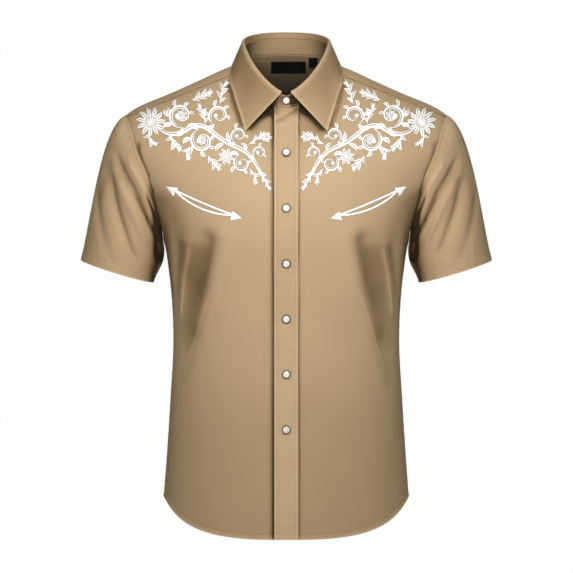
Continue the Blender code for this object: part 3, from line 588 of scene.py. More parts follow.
@dataclass
class ClothGrid:
    """Points on a sheet's outer face, in rows and columns, with the outward normals there.

    Where it is closed, its last column joins the first, as in a sleeve.
    """

    points: Array
    normals: Array
    # Painted light above zero and painted shade below zero, at each point.
    tone: Array | None = None
    closed: bool = False

    def run(self, edge: Edge) -> Array:
        """Each point's distance from an edge, along the grid's lines."""
        along = run_of(self.points, edge.axis)
        return np.take(along, [-1], axis=edge.axis) - along if edge.is_far else along

    def distance(self, edge: Edge, reach: float = 0.03) -> Array:
        """Each point's straight distance from an edge, where that is within reach."""
        away = self.run(edge)
        near = away < reach
        rim = np.take(self.points, -1 if edge.is_far else 0, axis=edge.axis)
        start, way = rim[:-1], np.diff(rim, axis=0)
        squared = np.maximum(np.sum(way * way, axis=-1), TINY**2)
        found = []
        for points in np.array_split(self.points[near], max(int(near.sum()) // BATCH, 1)):
            apart = points[:, None, :] - start[None]
            share = np.clip(np.sum(apart * way, axis=-1) / squared, 0, 1)
            apart = apart - share[..., None] * way
            found.append(np.linalg.norm(apart, axis=-1).min(axis=1))
        away[near] = np.concatenate(found)
        return away

    def seamed(self, seams: Sequence[Seam]) -> ClothGrid:
        """The grid with each seam's band, groove and puckers, and its painted shade and light."""
        lift = np.zeros(self.points.shape[:2])
        tone = np.zeros_like(lift) if self.tone is None else self.tone
        for number, seam in enumerate(seams):
            away = self.distance(seam.edge)
            run = self.run(Edge.FOOT if seam.edge.axis else Edge.START)
            lift = lift + seam.lift(away, run, number)
            tone = tone + seam.tone(away)
        return replace(self, points=self.points + lift[..., None] * self.normals, tone=tone)

    def line(self, edge: Edge, inset: float, clear: float = 0.0) -> Line:
        """A line at some distance from an edge.

        Args:
            edge: The edge that it follows.
            inset: Its distance from it.
            clear: How far it stops short of the edges that it runs towards.

        Returns:
            Its points and the normals there.
        """
        ends = (Edge.FOOT, Edge.HEAD) if edge.axis else (Edge.START, Edge.END)
        grids = [self.distance(edge), self.points, self.normals, *map(self.run, ends)]
        if not edge.axis:
            grids = [values.swapaxes(0, 1) for values in grids]
        if edge.is_far:
            grids = [values[:, ::-1] for values in grids]
        kept = []
        for away, points, normals, first, last in zip(*grids):
            if min(np.interp(inset, away, first), np.interp(inset, away, last)) >= clear:
                values = np.concatenate([points, normals], axis=1).T
                kept.append([np.interp(inset, away, value) for value in values])
        line = np.array(kept)
        return line[:, :3], unit(line[:, 3:])

    def size(self) -> Pair:
        """The sheet's largest width and length, flat."""
        return float(self.run(Edge.START).max()), float(self.run(Edge.FOOT).max())

    def area(self) -> float:
        """The sheet's area."""
        p = self.points
        diagonals = np.cross(p[1:, 1:] - p[:-1, :-1], p[1:, :-1] - p[:-1, 1:])
        return float(np.linalg.norm(diagonals, axis=-1).sum() / 2)


def spaced(count: int, start: tuple[int, float] = (0, 0), end: tuple[int, float] = (0, 0)) -> Array:
    """Shares from 0 to 1 in even steps, with finer steps near the ends.

    Args:
        count: Steps between the fine stretches.
        start: Fine steps at the start, and the share that they cover.
        end: The same at the end.

    Returns:
        The shares.
    """
    parts = [np.linspace(0, start[1], start[0] + 1)] if start[0] else [np.zeros(1)]
    parts.append(np.linspace(start[1], 1 - end[1], count + 1)[1:])
    if end[0]:
        parts.append(np.linspace(1 - end[1], 1, end[0] + 1)[1:])
    return np.concatenate(parts)


def patch(left: Array, right: Array, bottom: Array, top: Array, u: Array, v: Array) -> Array:
    """Chart positions inside four boundary curves that meet at their corners."""
    u, v = u[None, :, None], v[:, None, None]
    corners = (1 - u) * blend(bottom[:, :1], top[:, :1], v)
    corners = corners + u * blend(bottom[:, -1:], top[:, -1:], v)
    return blend(left, right, u) + blend(bottom, top, v) - corners


def two_curves(v: Array, split: float, low: Array, high: Array) -> Array:
    """Chart positions along an edge that follows one curve up to split and another above it."""
    return np.where((v <= split)[:, None], low, high)


def facing(points: Array, outward: Array, row: int | None = None) -> Array:
    """A grid's unit normals, on the side of the outward directions.

    Args:
        points: The grid's points.
        outward: A rough outward direction at each point.
        row: The row to compare by, where not all rows face outwards.

    Returns:
        The normals.
    """
    along, across = np.gradient(points, axis=0), np.gradient(points, axis=1)
    normals = unit(np.cross(across, along))
    rows = slice(None) if row is None else row
    turned = float(np.sum(normals[rows] * outward[rows]))
    return normals * (1.0 if turned > 0 else -1.0)


def pick(*chosen: Piece) -> None:
    """Selects these pieces alone, in object mode, with the last one active."""
    if bpy.context.mode != "OBJECT":
        bpy.ops.object.mode_set(mode="OBJECT")
    bpy.ops.object.select_all(action="DESELECT")
    for made in chosen:
        made.select_set(True)
        bpy.context.view_layer.objects.active = made


def in_edit_mode(made: Piece, *steps: Callable[[], object]) -> None:
    """Runs operators on all of a piece in edit mode."""
    pick(made)
    bpy.ops.object.mode_set(mode="EDIT")
    bpy.ops.mesh.select_all(action="SELECT")
    for step in steps:
        step()
    bpy.ops.object.mode_set(mode="OBJECT")


def smoothed(made: Piece, degrees: float = 50) -> None:
    """Shades a piece smooth, up to this angle."""
    pick(made)
    bpy.ops.object.shade_smooth_by_angle(angle=math.radians(degrees))


def named_last(name: str) -> Piece:
    """The piece that an operator has just made, with this name."""
    made = bpy.context.object
    made.name = made.data.name = name
    return made


def read(items: bpy.types.bpy_prop_collection, name: str, width: int, kind: type) -> Array:
    """One value of all of a mesh's points or corners, in rows of this width."""
    values = np.empty(len(items) * width, dtype=kind)
    items.foreach_get(name, values)
    return values.reshape(-1, width)


def sheet(name: str, grid: ClothGrid, wall: float, faces: Faces) -> Piece:
    """A thin shell whose outer face goes through the grid.

    Args:
        name: The piece's name.
        grid: The outer face.
        wall: The cloth's thickness.
        faces: The materials of its outer and inner faces.

    Returns:
        The piece, with a UV map in metres along its columns and rows.
    """
    rows, columns = grid.points.shape[:2]
    pick()
    bpy.ops.mesh.primitive_grid_add(x_subdivisions=columns - 1, y_subdivisions=rows - 1, size=1)
    made = named_last(name)
    mesh = made.data
    flat = read(mesh.vertices, "co", 3, np.float32) + 0.5
    column, row = (np.rint(flat[:, k] * (n - 1)).astype(int) for k, n in ((0, columns), (1, rows)))
    mesh.vertices.foreach_set("co", grid.points[row, column].astype(np.float32).ravel())
    corners = read(mesh.loops, "vertex_index", 1, np.int32)[:, 0]
    metres = np.stack([grid.run(Edge.START), grid.run(Edge.FOOT)], axis=-1)[row, column]
    mesh.uv_layers[0].data.foreach_set("uv", metres[corners].astype(np.float32).ravel())
    # The grid's painted light and shade, kept at the points for the cloth's colour.
    if grid.tone is not None:
        tone = mesh.attributes.new("tone", "FLOAT", "POINT")
        tone.data.foreach_set("value", grid.tone[row, column].astype(np.float32))
    mesh.update()
    if np.sum(read(mesh.vertices, "normal", 3, np.float32) * grid.normals[row, column]) < 0:
        in_edit_mode(made, bpy.ops.mesh.flip_normals)
    if grid.closed:
        in_edit_mode(made, lambda: bpy.ops.mesh.remove_doubles(threshold=1e-5))
    mesh.materials.clear()
    for face in faces:
        mesh.materials.append(face)
    pick(made)
    shell = made.modifiers.new("Shell", "SOLIDIFY")
    shell.thickness, shell.offset, shell.material_offset = wall, -1, 1
    bpy.ops.object.modifier_apply(modifier=shell.name)
    smoothed(made)
    return made


def joined(
    name: str, shapes: Sequence[tuple[Array, Sequence, Array]], finish: Finish
) -> Piece:
    """One piece from many small closed shapes.

    Args:
        name: The piece's name.
        shapes: (points, faces, UVs of the points) of each.
        finish: Their material.

    Returns:
        The piece.
    """
    points, faces, places, base = [], [], [], 0
    for own_points, own_faces, own_places in shapes:
        points.append(own_points)
        faces.extend(tuple(base + k for k in face) for face in own_faces)
        places.append(own_places)
        base += len(own_points)
    mesh = bpy.data.meshes.new(name)
    mesh.from_pydata(np.concatenate(points).tolist(), [], faces)
    layer = mesh.uv_layers.new(name="UVMap")
    corners = read(mesh.loops, "vertex_index", 1, np.int32)[:, 0]
    layer.data.foreach_set("uv", np.concatenate(places)[corners].astype(np.float32).ravel())
    mesh.materials.append(finish)
    made = bpy.data.objects.new(name, mesh)
    bpy.context.scene.collection.objects.link(made)
    in_edit_mode(made, lambda: bpy.ops.mesh.normals_make_consistent(inside=False))
    smoothed(made, 60)
    return made


@dataclass(frozen=True)
class Stitching:
    """A row of stitches: each is a short thread that dives into the cloth at its ends."""

    pitch: float = 0.0031
    length: float = 0.0024
    width: float = 0.00065
    height: float = 0.00035

    def along(self, points: Array, normals: Array) -> list:
        """The stitches along a line on the cloth.

        Args:
            points: The line's points.
            normals: The cloth's normals there.

        Returns:
            (points, faces, UVs) of each stitch.
        """
        run = run_of(points)
        count = max(int(run[-1] / self.pitch), 1)
        middles = (np.arange(count) + 0.5) * run[-1] / count

        def at(places: Array, values: Array) -> Array:
            """The values at these places along the line."""
            return np.stack([np.interp(places, run, values[:, k]) for k in range(3)], axis=-1)

        ahead = unit(at(middles + self.length / 2, points) - at(middles - self.length / 2, points))
        up, centre = unit(at(middles, normals)), at(middles, points)
        ends, flanks = ahead * self.length / 2, np.cross(up, ahead) * self.width / 2
        top, foot = up * self.height, up * self.height / 2
        corners = (centre + way for way in (-ends, ends, -flanks, flanks, top, -foot))
        ring = ((0, 2), (2, 1), (1, 3), (3, 0))
        faces = [(a, b, 4) for a, b in ring] + [(b, a, 5) for a, b in ring]
        return [(own, faces, np.zeros((6, 2))) for own in np.stack([*corners], axis=1)]


STITCHES = Stitching()


class Sewn:
    """Takes a finished piece into the frame, and keeps the log."""

    @staticmethod
    def add(made: Piece, slot: str, *nodes: str) -> None:
        """Rides a piece on the one body, hides what it replaces and logs its faces.

        Args:
            made: The piece.
            slot: The material slot; not used.
            nodes: The solids that it stands for.
        """
        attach(made, "root")
        if nodes:
            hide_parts(*nodes)
        LOG.info("%s: %d faces", made.name, len(made.data.polygons))

    @staticmethod
    def panel(
        name: str, grid: ClothGrid, faces: Faces, wall: float = CLOTH, rests_on: Sequence[str] = ()
    ) -> None:
        """Makes the panel of a node, and works out its cut with its seam allowance all round.

        Args:
            name: The node that it stands for.
            grid: Its outer face.
            faces: Its materials.
            wall: Its thickness.
            rests_on: The cloth that it lies on; not used.
        """
        made = sheet(f"{name}_cloth", grid, wall, faces)
        Sewn.add(made, "tan_cloth", name)
        width, length = (side + 2 * SEAM_ALLOWANCE for side in grid.size())
        area = min(grid.area() * CUT_AREA, width * length)

    @staticmethod
    def stitches(name: str, lines: Sequence[Line], thread: Finish) -> None:
        """The stitches along these lines of points and normals, as one piece."""
        shapes = [shape for line in lines for shape in STITCHES.along(*line)]
        Sewn.add(joined(f"{name}_stitches", shapes, thread), "tan_cloth")


@dataclass
class Body:
    """The fronts, back and yoke."""

    cloth: Faces
    thread: Finish
    front_hem: float = -0.711
    back_hem: float = -0.704
    side_hem: float = -0.645
    hem_curves: Pair = (3.0, 9.0)
    hem_blend: float = 0.62
    hem_squareness: float = 2.35
    chest: float = -0.270
    back_yoke_seam: float = -0.105
    back_yoke_drop: float = 0.010
    front_seam_at_neck: float = math.radians(75)
    front_seam_at_armhole: float = math.radians(12)
    side_radius: float = 0.12
    side_split: float = 0.60
    neck_split: float = 1 - 0.40 * 6 / 13  # The neckline's part of what lies over side_split.
    neck_ease: float = 1.25
    neck_share: float = 0.34
    yoke_pivot: float = -0.130
    yoke_reach: float = 0.30
    halvings: int = 34
    placket_half_width: float = 0.0178
    underlap_start: float = 0.045
    underlap_end: float = 0.0195
    hem: float = 0.0065
    topstitch: float = 0.0016
    yoke_seam: float = 0.0028
    lines: list[Line] = field(default_factory=list)

    @property
    def placket_angle(self) -> float:
        """The angle round the neck at which the placket's edge meets the neckline."""
        return math.asin(self.placket_half_width / FORM.neck_half_width)

    @property
    def back_top_turn(self) -> float:
        """The armhole's turn where the yoke's back seam meets it."""
        middle, half = FORM.armhole_heights
        height = self.back_yoke_seam - self.back_yoke_drop
        return 2 * math.pi - math.acos((height - middle) / half)

    def hem_height(self, theta: Array, centre: float) -> Array:
        """The curved shirt tail: lowest at the centre, with a corner at each side seam."""
        sine, cosine, power = np.abs(np.sin(theta)), np.abs(np.cos(theta)), self.hem_squareness
        reach = (sine**power + cosine**power) ** (-1 / power)
        share = sine * reach
        rise = blend(share**self.hem_curves[1], share ** self.hem_curves[0], self.hem_blend)
        return centre + (self.side_hem - centre) * rise

    def outer_edge(self, side: float, end_turn: float, v: Array) -> Array:
        """A panel's side seam, from the hem to the underarm, and its armhole above it.

        Args:
            side: The angle of the side seam.
            end_turn: The armhole's turn where the panel ends.
            v: Shares of the whole edge.

        Returns:
            Its chart positions.
        """
        seam = blend(self.side_hem, FORM.underarm, np.clip(v / self.side_split, 0, 1))
        share = np.clip((v - self.side_split) / (1 - self.side_split), 0, 1)
        theta, height = parts(FORM.armhole(blend(math.pi, end_turn, share)))
        kept = np.minimum if side < math.pi / 2 else np.maximum
        armhole = charted(kept(theta, side), height)
        return two_curves(v, self.side_split, charted(side, seam), armhole)

    def panel_chart(
        self, centre: Array, outer: Array, hem: float, top: Array, u: Array, v: Array
    ) -> Array:
        """The chart of a front or half a back, between its centre, outer edge, hem and top."""
        across = blend(centre[0, 0], outer[0, 0], u)
        bottom = charted(across, self.hem_height(across, hem))
        return patch(centre[:, None], outer[:, None], bottom[None], top[None], u, v)

    def front_chart(self, u: Array, v: Array) -> Array:
        """A front's chart: it reaches past the centre by half a placket's width."""
        side = math.pi / 2 - SEAM_GAP / 2 / self.side_radius
        end_angle = self.front_seam_at_neck - SEAM_GAP / FORM.neck_half_width
        end_turn = self.front_seam_at_armhole + SEAM_GAP / FORM.armhole_front
        whole = np.minimum(v, self.neck_split)
        height = blend(self.front_hem, self.chest, np.clip(whole / self.side_split, 0, 1))
        share = np.clip((whole - self.side_split) / (self.neck_split - self.side_split), 0, 1)
        neck = FORM.neckline(np.array(-self.placket_angle))[1]
        height = blend(height, neck, 1 - (1 - share) ** self.neck_ease)
        edge = charted(FORM.theta_of_x(-self.placket_half_width, height), height)
        share = np.clip((v - self.neck_split) / (1 - self.neck_split), 0, 1)
        neckline = FORM.neckline(blend(-self.placket_angle, end_angle, share))
        centre = two_curves(v, self.neck_split, edge, neckline)
        outer = self.outer_edge(side, end_turn, v)
        x = blend(FORM.point(*centre[-1])[0], FORM.point(*outer[-1])[0], u)
        height = blend(centre[-1, 1], outer[-1, 1], u)
        top = charted(FORM.theta_of_x(x, height), height)
        return self.panel_chart(centre, outer, self.front_hem, top, u, v)

    def back_chart(self, u: Array, v: Array) -> Array:
        """The chart of half the back, from the centre to the left side."""
        side = math.pi / 2 + SEAM_GAP / 2 / self.side_radius
        outer = self.outer_edge(side, self.back_top_turn - SEAM_GAP / FORM.armhole_back, v)
        centre = charted(math.pi, blend(self.back_hem, self.back_yoke_seam - SEAM_GAP, v))
        seam = self.back_yoke_seam - self.back_yoke_drop * u**2 - SEAM_GAP
        top = charted(blend(math.pi, outer[-1, 0], u), seam)
        return self.panel_chart(centre, outer, self.back_hem, top, u, v)

    def yoke_point(self, x: Array, lean: Array) -> Array:
        """Chart positions where the form has this x, on a ray that leans back by this angle."""
        low, high = np.zeros_like(x), np.full_like(x, self.yoke_reach)
        top = SECTIONS[-1].height
        for _ in range(self.halvings):
            middle = (low + high) / 2
            height = np.clip(self.yoke_pivot + middle * np.cos(lean), self.yoke_pivot, top)
            depth = FORM.depth(lean < 0, height)
            power = FORM.column("squareness", height)
            width = np.abs(x) / FORM.column("half_width", height)
            inside = width**power + (middle * np.abs(np.sin(lean)) / depth) ** power < 1
            low, high = np.where(inside, middle, low), np.where(inside, high, middle)
        height = self.yoke_pivot + low * np.cos(lean)
        depth = FORM.depth(lean < 0, height)
        width = np.abs(x) / FORM.column("half_width", height)
        theta = np.arctan2(width, low * np.abs(np.sin(lean)) / depth)
        return charted(np.where(lean < 0, theta, math.pi - theta), height)

    def x_and_lean(self, chart: Array) -> Array:
        """The x of chart positions, and how far they lean back from the yoke's pivot."""
        points = FORM.at(chart)
        behind = points[..., 1] - FORM.column("ridge", chart[..., 1])
        return charted(points[..., 0], np.arctan2(behind, points[..., 2] - self.yoke_pivot))

    def yoke_chart(self, u: Array, v: Array) -> Array:
        """The chart of half the yoke, from its back seam over the shoulder to its front seam."""
        seam_end = FORM.armhole(np.array(self.back_top_turn))
        seam = self.back_yoke_seam - self.back_yoke_drop * u**2
        back_seam = charted(blend(math.pi, seam_end[0], u), seam)
        angle = blend(math.pi, self.front_seam_at_neck, np.clip(u / self.neck_share, 0, 1))
        neck = FORM.neckline(angle)
        share = np.clip((u - self.neck_share) / (1 - self.neck_share), 0, 1)
        start = FORM.neckline(np.array(self.front_seam_at_neck))
        end = FORM.armhole(np.array(self.front_seam_at_armhole))
        x = blend(FORM.point(*start)[0], FORM.point(*end)[0], share)
        height = blend(start[1], end[1], share)
        front_seam = charted(FORM.theta_of_x(x, height), height)
        top = two_curves(u, self.neck_share, neck, front_seam)
        turn = blend(self.back_top_turn - 2 * math.pi, self.front_seam_at_armhole, v)
        centre = charted(math.pi, blend(self.back_yoke_seam, NECKLINE[-2].height, v))
        runs = map(self.x_and_lean, (centre, FORM.armhole(turn), back_seam, top))
        centre, armhole, back_seam, top = runs
        chart = patch(centre[:, None], armhole[:, None], back_seam[None], top[None], u, v)
        return self.yoke_point(np.maximum(chart[..., 0], 0), chart[..., 1])

    def grid(self, chart: Array, lift: Array | float = 0.0) -> ClothGrid:
        """A cloth grid on the form."""
        return ClothGrid(FORM.at(chart, lift), FORM.normal(chart), FORM.shade(chart))

    def dip(self, side: Side, from_centre: Array) -> Array:
        """How far a front lies under the form: the right one dips under the left."""
        share = (self.underlap_start - from_centre) / (self.underlap_start - self.underlap_end)
        depth = CLOTH + 2 * LAYER_GAP if side is Side.RIGHT else 0.0
        return -depth * ease(share)

    def edge_seam(self, edge: Edge, light: float = 0.0, **other: float) -> Seam:
        """A seam whose edge lies flat beside its neighbour's."""
        return Seam(edge, self.topstitch, band=0.0, light=light, **other)

    def build_front(self, side: Side) -> None:
        """One front. The right one dips under the left."""
        u, v = spaced(96, end=(10, 0.034)), spaced(210, start=(14, 0.016), end=(10, 0.014))
        chart = self.front_chart(u, v)
        lift = self.dip(side, FORM.at(chart)[..., 0])
        grid = self.grid(chart * np.array((side.value, 1.0)), lift)
        outside = side.value * grid.points[..., 0] - self.placket_half_width
        # Painted shadows on the front beside the placket's edge.
        for line in PLACKET_SHADOWS[side]:
            grid.tone += line.shade * hump(outside - line.outside, line.width)
        grid = grid.seamed(
            (
                Seam(Edge.FOOT, self.hem, pucker=0.0002, shade=-0.1, light=1.0, lit=0.003),
                self.edge_seam(Edge.END),
                self.edge_seam(Edge.HEAD, -0.9, groove=0.0005, shade=-0.4),
            )
        )
        Sewn.panel(f"front_{side.word}", grid, self.cloth)
        self.lines.append(grid.line(Edge.FOOT, self.hem))

    def build_whole(self, name: str, half: Array, seams: Sequence[Seam], foot: float) -> None:
        """A piece whose chart is given for its left half, carried on over its centre line.

        Args:
            name: The node that it stands for.
            half: The chart of its left half, from the centre line on.
            seams: Its seams.
            foot: How far the stitches lie inside its lower edge.
        """
        right = (half * np.array((-1.0, 1.0)))[:, :0:-1]
        grid = self.grid(np.concatenate([right, half], axis=1)).seamed(seams)
        Sewn.panel(name, grid, self.cloth)
        self.lines.append(grid.line(Edge.FOOT, foot))

    def build(self) -> None:
        """All four panels and their stitches."""
        self.build_front(Side.RIGHT)
        self.build_front(Side.LEFT)
        u, v = spaced(84, end=(8, 0.034)), spaced(180, start=(14, 0.016), end=(8, 0.012))
        seams = (
            Seam(Edge.FOOT, self.hem, pucker=0.0004, shade=-0.15),
            self.edge_seam(Edge.START),
            self.edge_seam(Edge.END),
            self.edge_seam(Edge.HEAD, -0.6, groove=0.0005),
        )
        self.build_whole("back", self.back_chart(u, v), seams, self.hem)
        u, v = spaced(90, end=(6, 0.02)), spaced(60, start=(10, 0.035), end=(10, 0.035))
        seams = (
            Seam(Edge.FOOT, self.yoke_seam, groove=0.0005, pucker=0.0002),
            self.edge_seam(Edge.START, groove=0.0003, pucker=0.0),
            self.edge_seam(Edge.END, groove=0.0003, pucker=0.0),
        )
        self.build_whole("yoke", self.yoke_chart(u, v), seams, self.yoke_seam)
        Sewn.stitches("body", self.lines, self.thread)


@dataclass
class Sleeves:
    """Both sleeves, each closed round and open at the armhole and the cuff."""

    cloth: Faces
    thread: Finish
    cuff_centre: Triple = (0.2535, 0.008, -0.3075)
    cuff_to_outside: Triple = (0.0545, 0.0, 0.0165)
    cuff_to_front: Triple = (0.0, -0.0590, -0.0045)
    cap_way: Triple = (0.92, 0.0, -0.39)
    front_way: Triple = (0.58, -0.10, -0.80)
    back_way: Triple = (0.58, 0.16, -0.80)
    underarm_way: Triple = (-0.19, 0.0, -0.98)
    cuff_way: Triple = (0.22, 0.0, -0.975)
    cap_pull: Triple = (0.085, 0.005, 0.030)
    cuff_pull: Pair = (0.155, 0.095)
    fold_start: float = 0.2
    armhole_seam: float = 0.0060
    hem_lines: Pair = (0.0125, 0.0195)
    # An even painted shade over both sleeves.
    dimness: float = 0.12

    def point(self, turn: Array, share: Array, side: Side) -> Array:
        """Points of a sleeve: turn as on the armhole, and share from there to the cuff."""
        turn, share = np.broadcast_arrays(turn, share)
        mirror = np.array((side.value, 1.0, 1.0))
        theta, height = parts(FORM.armhole(turn))
        start = FORM.point(side.value * theta, height) * mirror
        start = start + np.array((SEAM_GAP, 0.0, 0.0))
        up, ahead = np.cos(turn)[..., None], np.sin(turn)[..., None]
        outside, front = np.array(self.cuff_to_outside), np.array(self.cuff_to_front)
        end = np.array(self.cuff_centre) + outside * up + front * ahead
        flank = np.where(ahead > 0, self.front_way, self.back_way)
        pole = np.where(up > 0, self.cap_way, self.underarm_way)
        mean, swing, more = self.cap_pull
        leave = unit(flank * ahead**2 + pole * up**2) * (mean + swing * up + more * up**2)
        arrive = np.array(self.cuff_way) * (self.cuff_pull[0] + self.cuff_pull[1] * up)
        points = curve((start, end), (leave, arrive), share[..., None])
        rise = self.folded(turn, share, side, "rise")
        rise = (rise * np.clip(share / self.fold_start, 0, 1))[..., None]
        return (points + rise * unit(outside * up + front * ahead)) * mirror

    def folded(self, turn: Array, share: Array, side: Side, name: str) -> Array:
        """The rise of the sleeve's folds, or their painted shade and light."""
        folds = SLEEVE_FOLDS[side] + SLEEVE_CREASES[side] + SLEEVE_LIGHTS + SLEEVE_HOLLOWS
        return fold_sum(folds, np.mod(turn, 2 * math.pi), share, SLEEVE_SCALE, name)

    def build(self) -> None:
        """Both sleeves and their stitches."""
        turn = np.linspace(math.pi, 3 * math.pi, 181)[None, :]
        share = spaced(96, start=(8, 0.02), end=(26, 0.11))[:, None]
        fine = {"band": 0.0002, "groove": 0.0003, "pucker": 0.0001, "shade": -0.2}
        seams = [Seam(Edge.FOOT, self.armhole_seam, 0.0, 0.0003, 0.0003, shade=-0.35, light=0.0)]
        seams += [Seam(Edge.HEAD, inset, **fine) for inset in self.hem_lines]
        lines = []
        for side in Side:
            points = self.point(turn, share, side)
            middle = points.mean(axis=1, keepdims=True)
            # Painted shade and light of the folds, with the even painted shade over them.
            tone = self.folded(turn, share, side, "shade") - self.dimness
            normals = facing(points, points - middle)
            grid = ClothGrid(points, normals, tone, closed=True).seamed(seams)
            Sewn.panel(f"sleeve_{side.word}", grid, self.cloth)
            lines += [grid.line(Edge.HEAD, inset) for inset in self.hem_lines]
        Sewn.stitches("sleeve", lines, self.thread)


@dataclass
class Collar:
    """The stand on the neckline, and the leaf that turns over it."""

    cloth: Faces
    thread: Finish
    placket_angle: float
    half_width: float = 0.064
    front_y: float = -0.061
    side_y: float = 0.006
    back_y: float = 0.060
    front_height: float = -0.040
    side_height: float = 0.037
    back_height: float = 0.0505
    front_curve: float = 1.4
    back_curve: float = 2.4
    roll: float = 0.0014
    lip_back: float = 0.0065
    lip_front: float = 0.0015
    stand_round: float = 0.009
    leaf_end: float = math.radians(6.5)
    leaf_bulge: float = 0.0025
    leaf_bulge_side: float = 0.0002
    topstitch: float = 0.0045
    stand_foot: float = 0.0024
    stand_end: float = 0.0030
    stand_head: float = 0.0060
    lip_rows: int = 4
    fold_rows: int = 13

    def fold_line(self, angle: Array) -> Array:
        """The fold of the collar, at angles from the centre front round the back."""
        side = np.abs(np.sin(angle))
        front = (1 - side**self.front_curve) ** (1 / self.front_curve)
        back = (1 - side**self.back_curve) ** (1 / self.back_curve)
        ahead = np.cos(angle) > 0
        low = blend(self.side_height, self.front_height, front)
        height = np.where(ahead, low, blend(self.side_height, self.back_height, back))
        end_y = np.where(ahead, self.front_y, self.back_y)
        y = blend(self.side_y, end_y, np.abs(np.cos(angle)))
        return np.stack([self.half_width * np.sin(angle), y, height], axis=-1)

    def out(self, angle: Array) -> Array:
        """The level direction away from the middle of the neck."""
        out = np.stack([np.sin(angle), -np.cos(angle), np.zeros_like(angle)], axis=-1)
        return unit(out / np.array((self.half_width, self.back_y, 1.0)))

    def lip(self, angle: Array) -> Array:
        """How far the leaf's inner lip comes down from the fold to the stand."""
        return blend(self.lip_front, self.lip_back, (1 - np.cos(angle)) / 2)[..., None]

    def stand_rows(self, angle: Array, shares: Sequence[float]) -> Array:
        """The stand's outer face, from the neckline to its top edge, at these angles."""
        base = FORM.at(FORM.neckline(angle)) + SEAM_GAP * UP
        out = self.out(angle)
        drop = self.lip(angle) + self.roll + STIFF_CLOTH + SEAM_GAP
        top = self.fold_line(angle) - out * self.roll - UP * drop
        half = math.pi + self.placket_angle
        spiral = ((math.pi - angle) / (2 * half))[:, None]
        shift = out * spiral * (STIFF_CLOTH + 2 * LAYER_GAP)
        from_end = FORM.neck_half_width * (half - np.abs(angle - math.pi))
        gone = np.clip(self.stand_round - from_end, 0, None)
        cut = self.stand_round - np.sqrt(self.stand_round**2 - gone**2)
        reach = 1 - cut / np.linalg.norm(top - base, axis=-1)
        return np.array([blend(base, top, (share * reach)[:, None]) + shift for share in shares])

    def leaf_edge(self, angle: Array) -> Array:
        """The leaf's lower edge at these angles, on both sides of the neck."""
        mirrored = [LeafEdge(360 - row.angle, -row.x, row.y, row.height) for row in LEAF_EDGE]
        table, at = LEAF_EDGE + tuple(mirrored[-2::-1]), np.degrees(angle)
        columns = [between_rows(table, name, at) for name in ("x", "y", "height")]
        return np.stack(columns, axis=-1)

    def leaf_rows(self, angle: Array, falls: Array) -> Array:
        """The leaf's outer face, from its inner lip over the fold to its edge."""
        out, crest = self.out(angle), self.fold_line(angle)
        radius = self.roll + STIFF_CLOTH
        middle = crest - UP * radius
        lip = UP * self.lip(angle)
        rows = [middle - out * radius - lip * (1 - k / self.lip_rows) for k in range(self.lip_rows)]
        for a in np.linspace(0, math.pi, self.fold_rows):
            rows.append(middle + radius * (UP * math.sin(a) - out * math.cos(a)))
        start, edge = rows[-1], self.leaf_edge(angle)
        fall = unit(edge - start)
        face = unit(out - fall * np.sum(out * fall, axis=-1, keepdims=True))
        bulge = blend(self.leaf_bulge, self.leaf_bulge_side, np.abs(np.sin(angle)))[:, None]
        for share in falls:
            swell = bulge * math.sin(math.pi * share)
            rows.append(blend(start, edge, share) + swell * face)
        return np.array(rows)

    @staticmethod
    def stand_tone(points: Array) -> Array:
        """The painted shadow of the leaf on the stand: deep at the top and under its edges."""
        x, y, height = (points[..., k] for k in range(3))
        tone = blend(-0.6, -1.5, smooth_step(height, -0.062, 0.014))
        tone = tone - 1.8 * smooth_step(x, -0.0115, -0.005) - 1.3 * smooth_step(x, 0.003, 0.006)
        return blend(tone, -0.3, smooth_step(y, -0.02, 0.04))

    def leaf_tone(self, points: Array) -> Array:
        """Painted light along the leaf's fold, and painted shade on its lip and its upper face."""
        x, y, height = (points[..., k] for k in range(3))
        across = smooth_step(x, -0.03, 0.06)
        # Painted light on the outer rim; painted shade on the front face, deepest high up and on
        # the wearer's right.
        rim = smooth_step(np.abs(x), 0.058, 0.022) * smooth_step(height, 0.0, -0.03)
        low, high = blend(-0.48, -0.32, across), blend(-1.0, -0.78, across)
        face = blend(low, high, smooth_step(height, -0.09, 0.08)) + blend(0.40, 0.55, across) * rim
        face = face * smooth_step(y, 0.03, -0.04)
        row = np.arange(len(points))[:, None] - self.lip_rows
        lip = -0.5 - 0.7 * np.sin(np.arctan2(x, y)) ** 2
        tone = blend(lip, 0.2, smooth_step(row, 2, 4))
        return blend(tone, face, smooth_step(row, 0.75 * self.fold_rows, 0.5 * self.fold_rows))

    def angles(self, reach: float, count: int) -> Array:
        """Angles round the neck, for this reach on each side of the centre back."""
        return math.pi + reach * (2 * spaced(count, start=(16, 0.02), end=(16, 0.02)) - 1)

    def build_stand(self) -> list[Line]:
        """The stand. Returns the lines of its stitches."""
        angle = self.angles(math.pi + self.placket_angle, 210)
        points = self.stand_rows(angle, spaced(14, start=(6, 0.12), end=(6, 0.12)))
        normals = np.broadcast_to(self.out(angle), points.shape)
        flat = {"band": 0.0, "groove": 0.0, "pucker": 0.0, "shade": 0.0}
        seams = (
            Seam(Edge.START, self.stand_end, light=0.3),
            Seam(Edge.END, self.stand_end, light=0.3),
            Seam(Edge.FOOT, self.stand_foot, pucker=0.0001, light=0.3),
            Seam(Edge.HEAD, self.stand_head, light=1.0, **flat),
        )
        grid = ClothGrid(points, normals, self.stand_tone(points)).seamed(seams)
        Sewn.panel("collar_stand", grid, self.cloth, STIFF_CLOTH)
        return [grid.line(Edge.FOOT, self.stand_foot), grid.line(Edge.START, self.stand_end)]

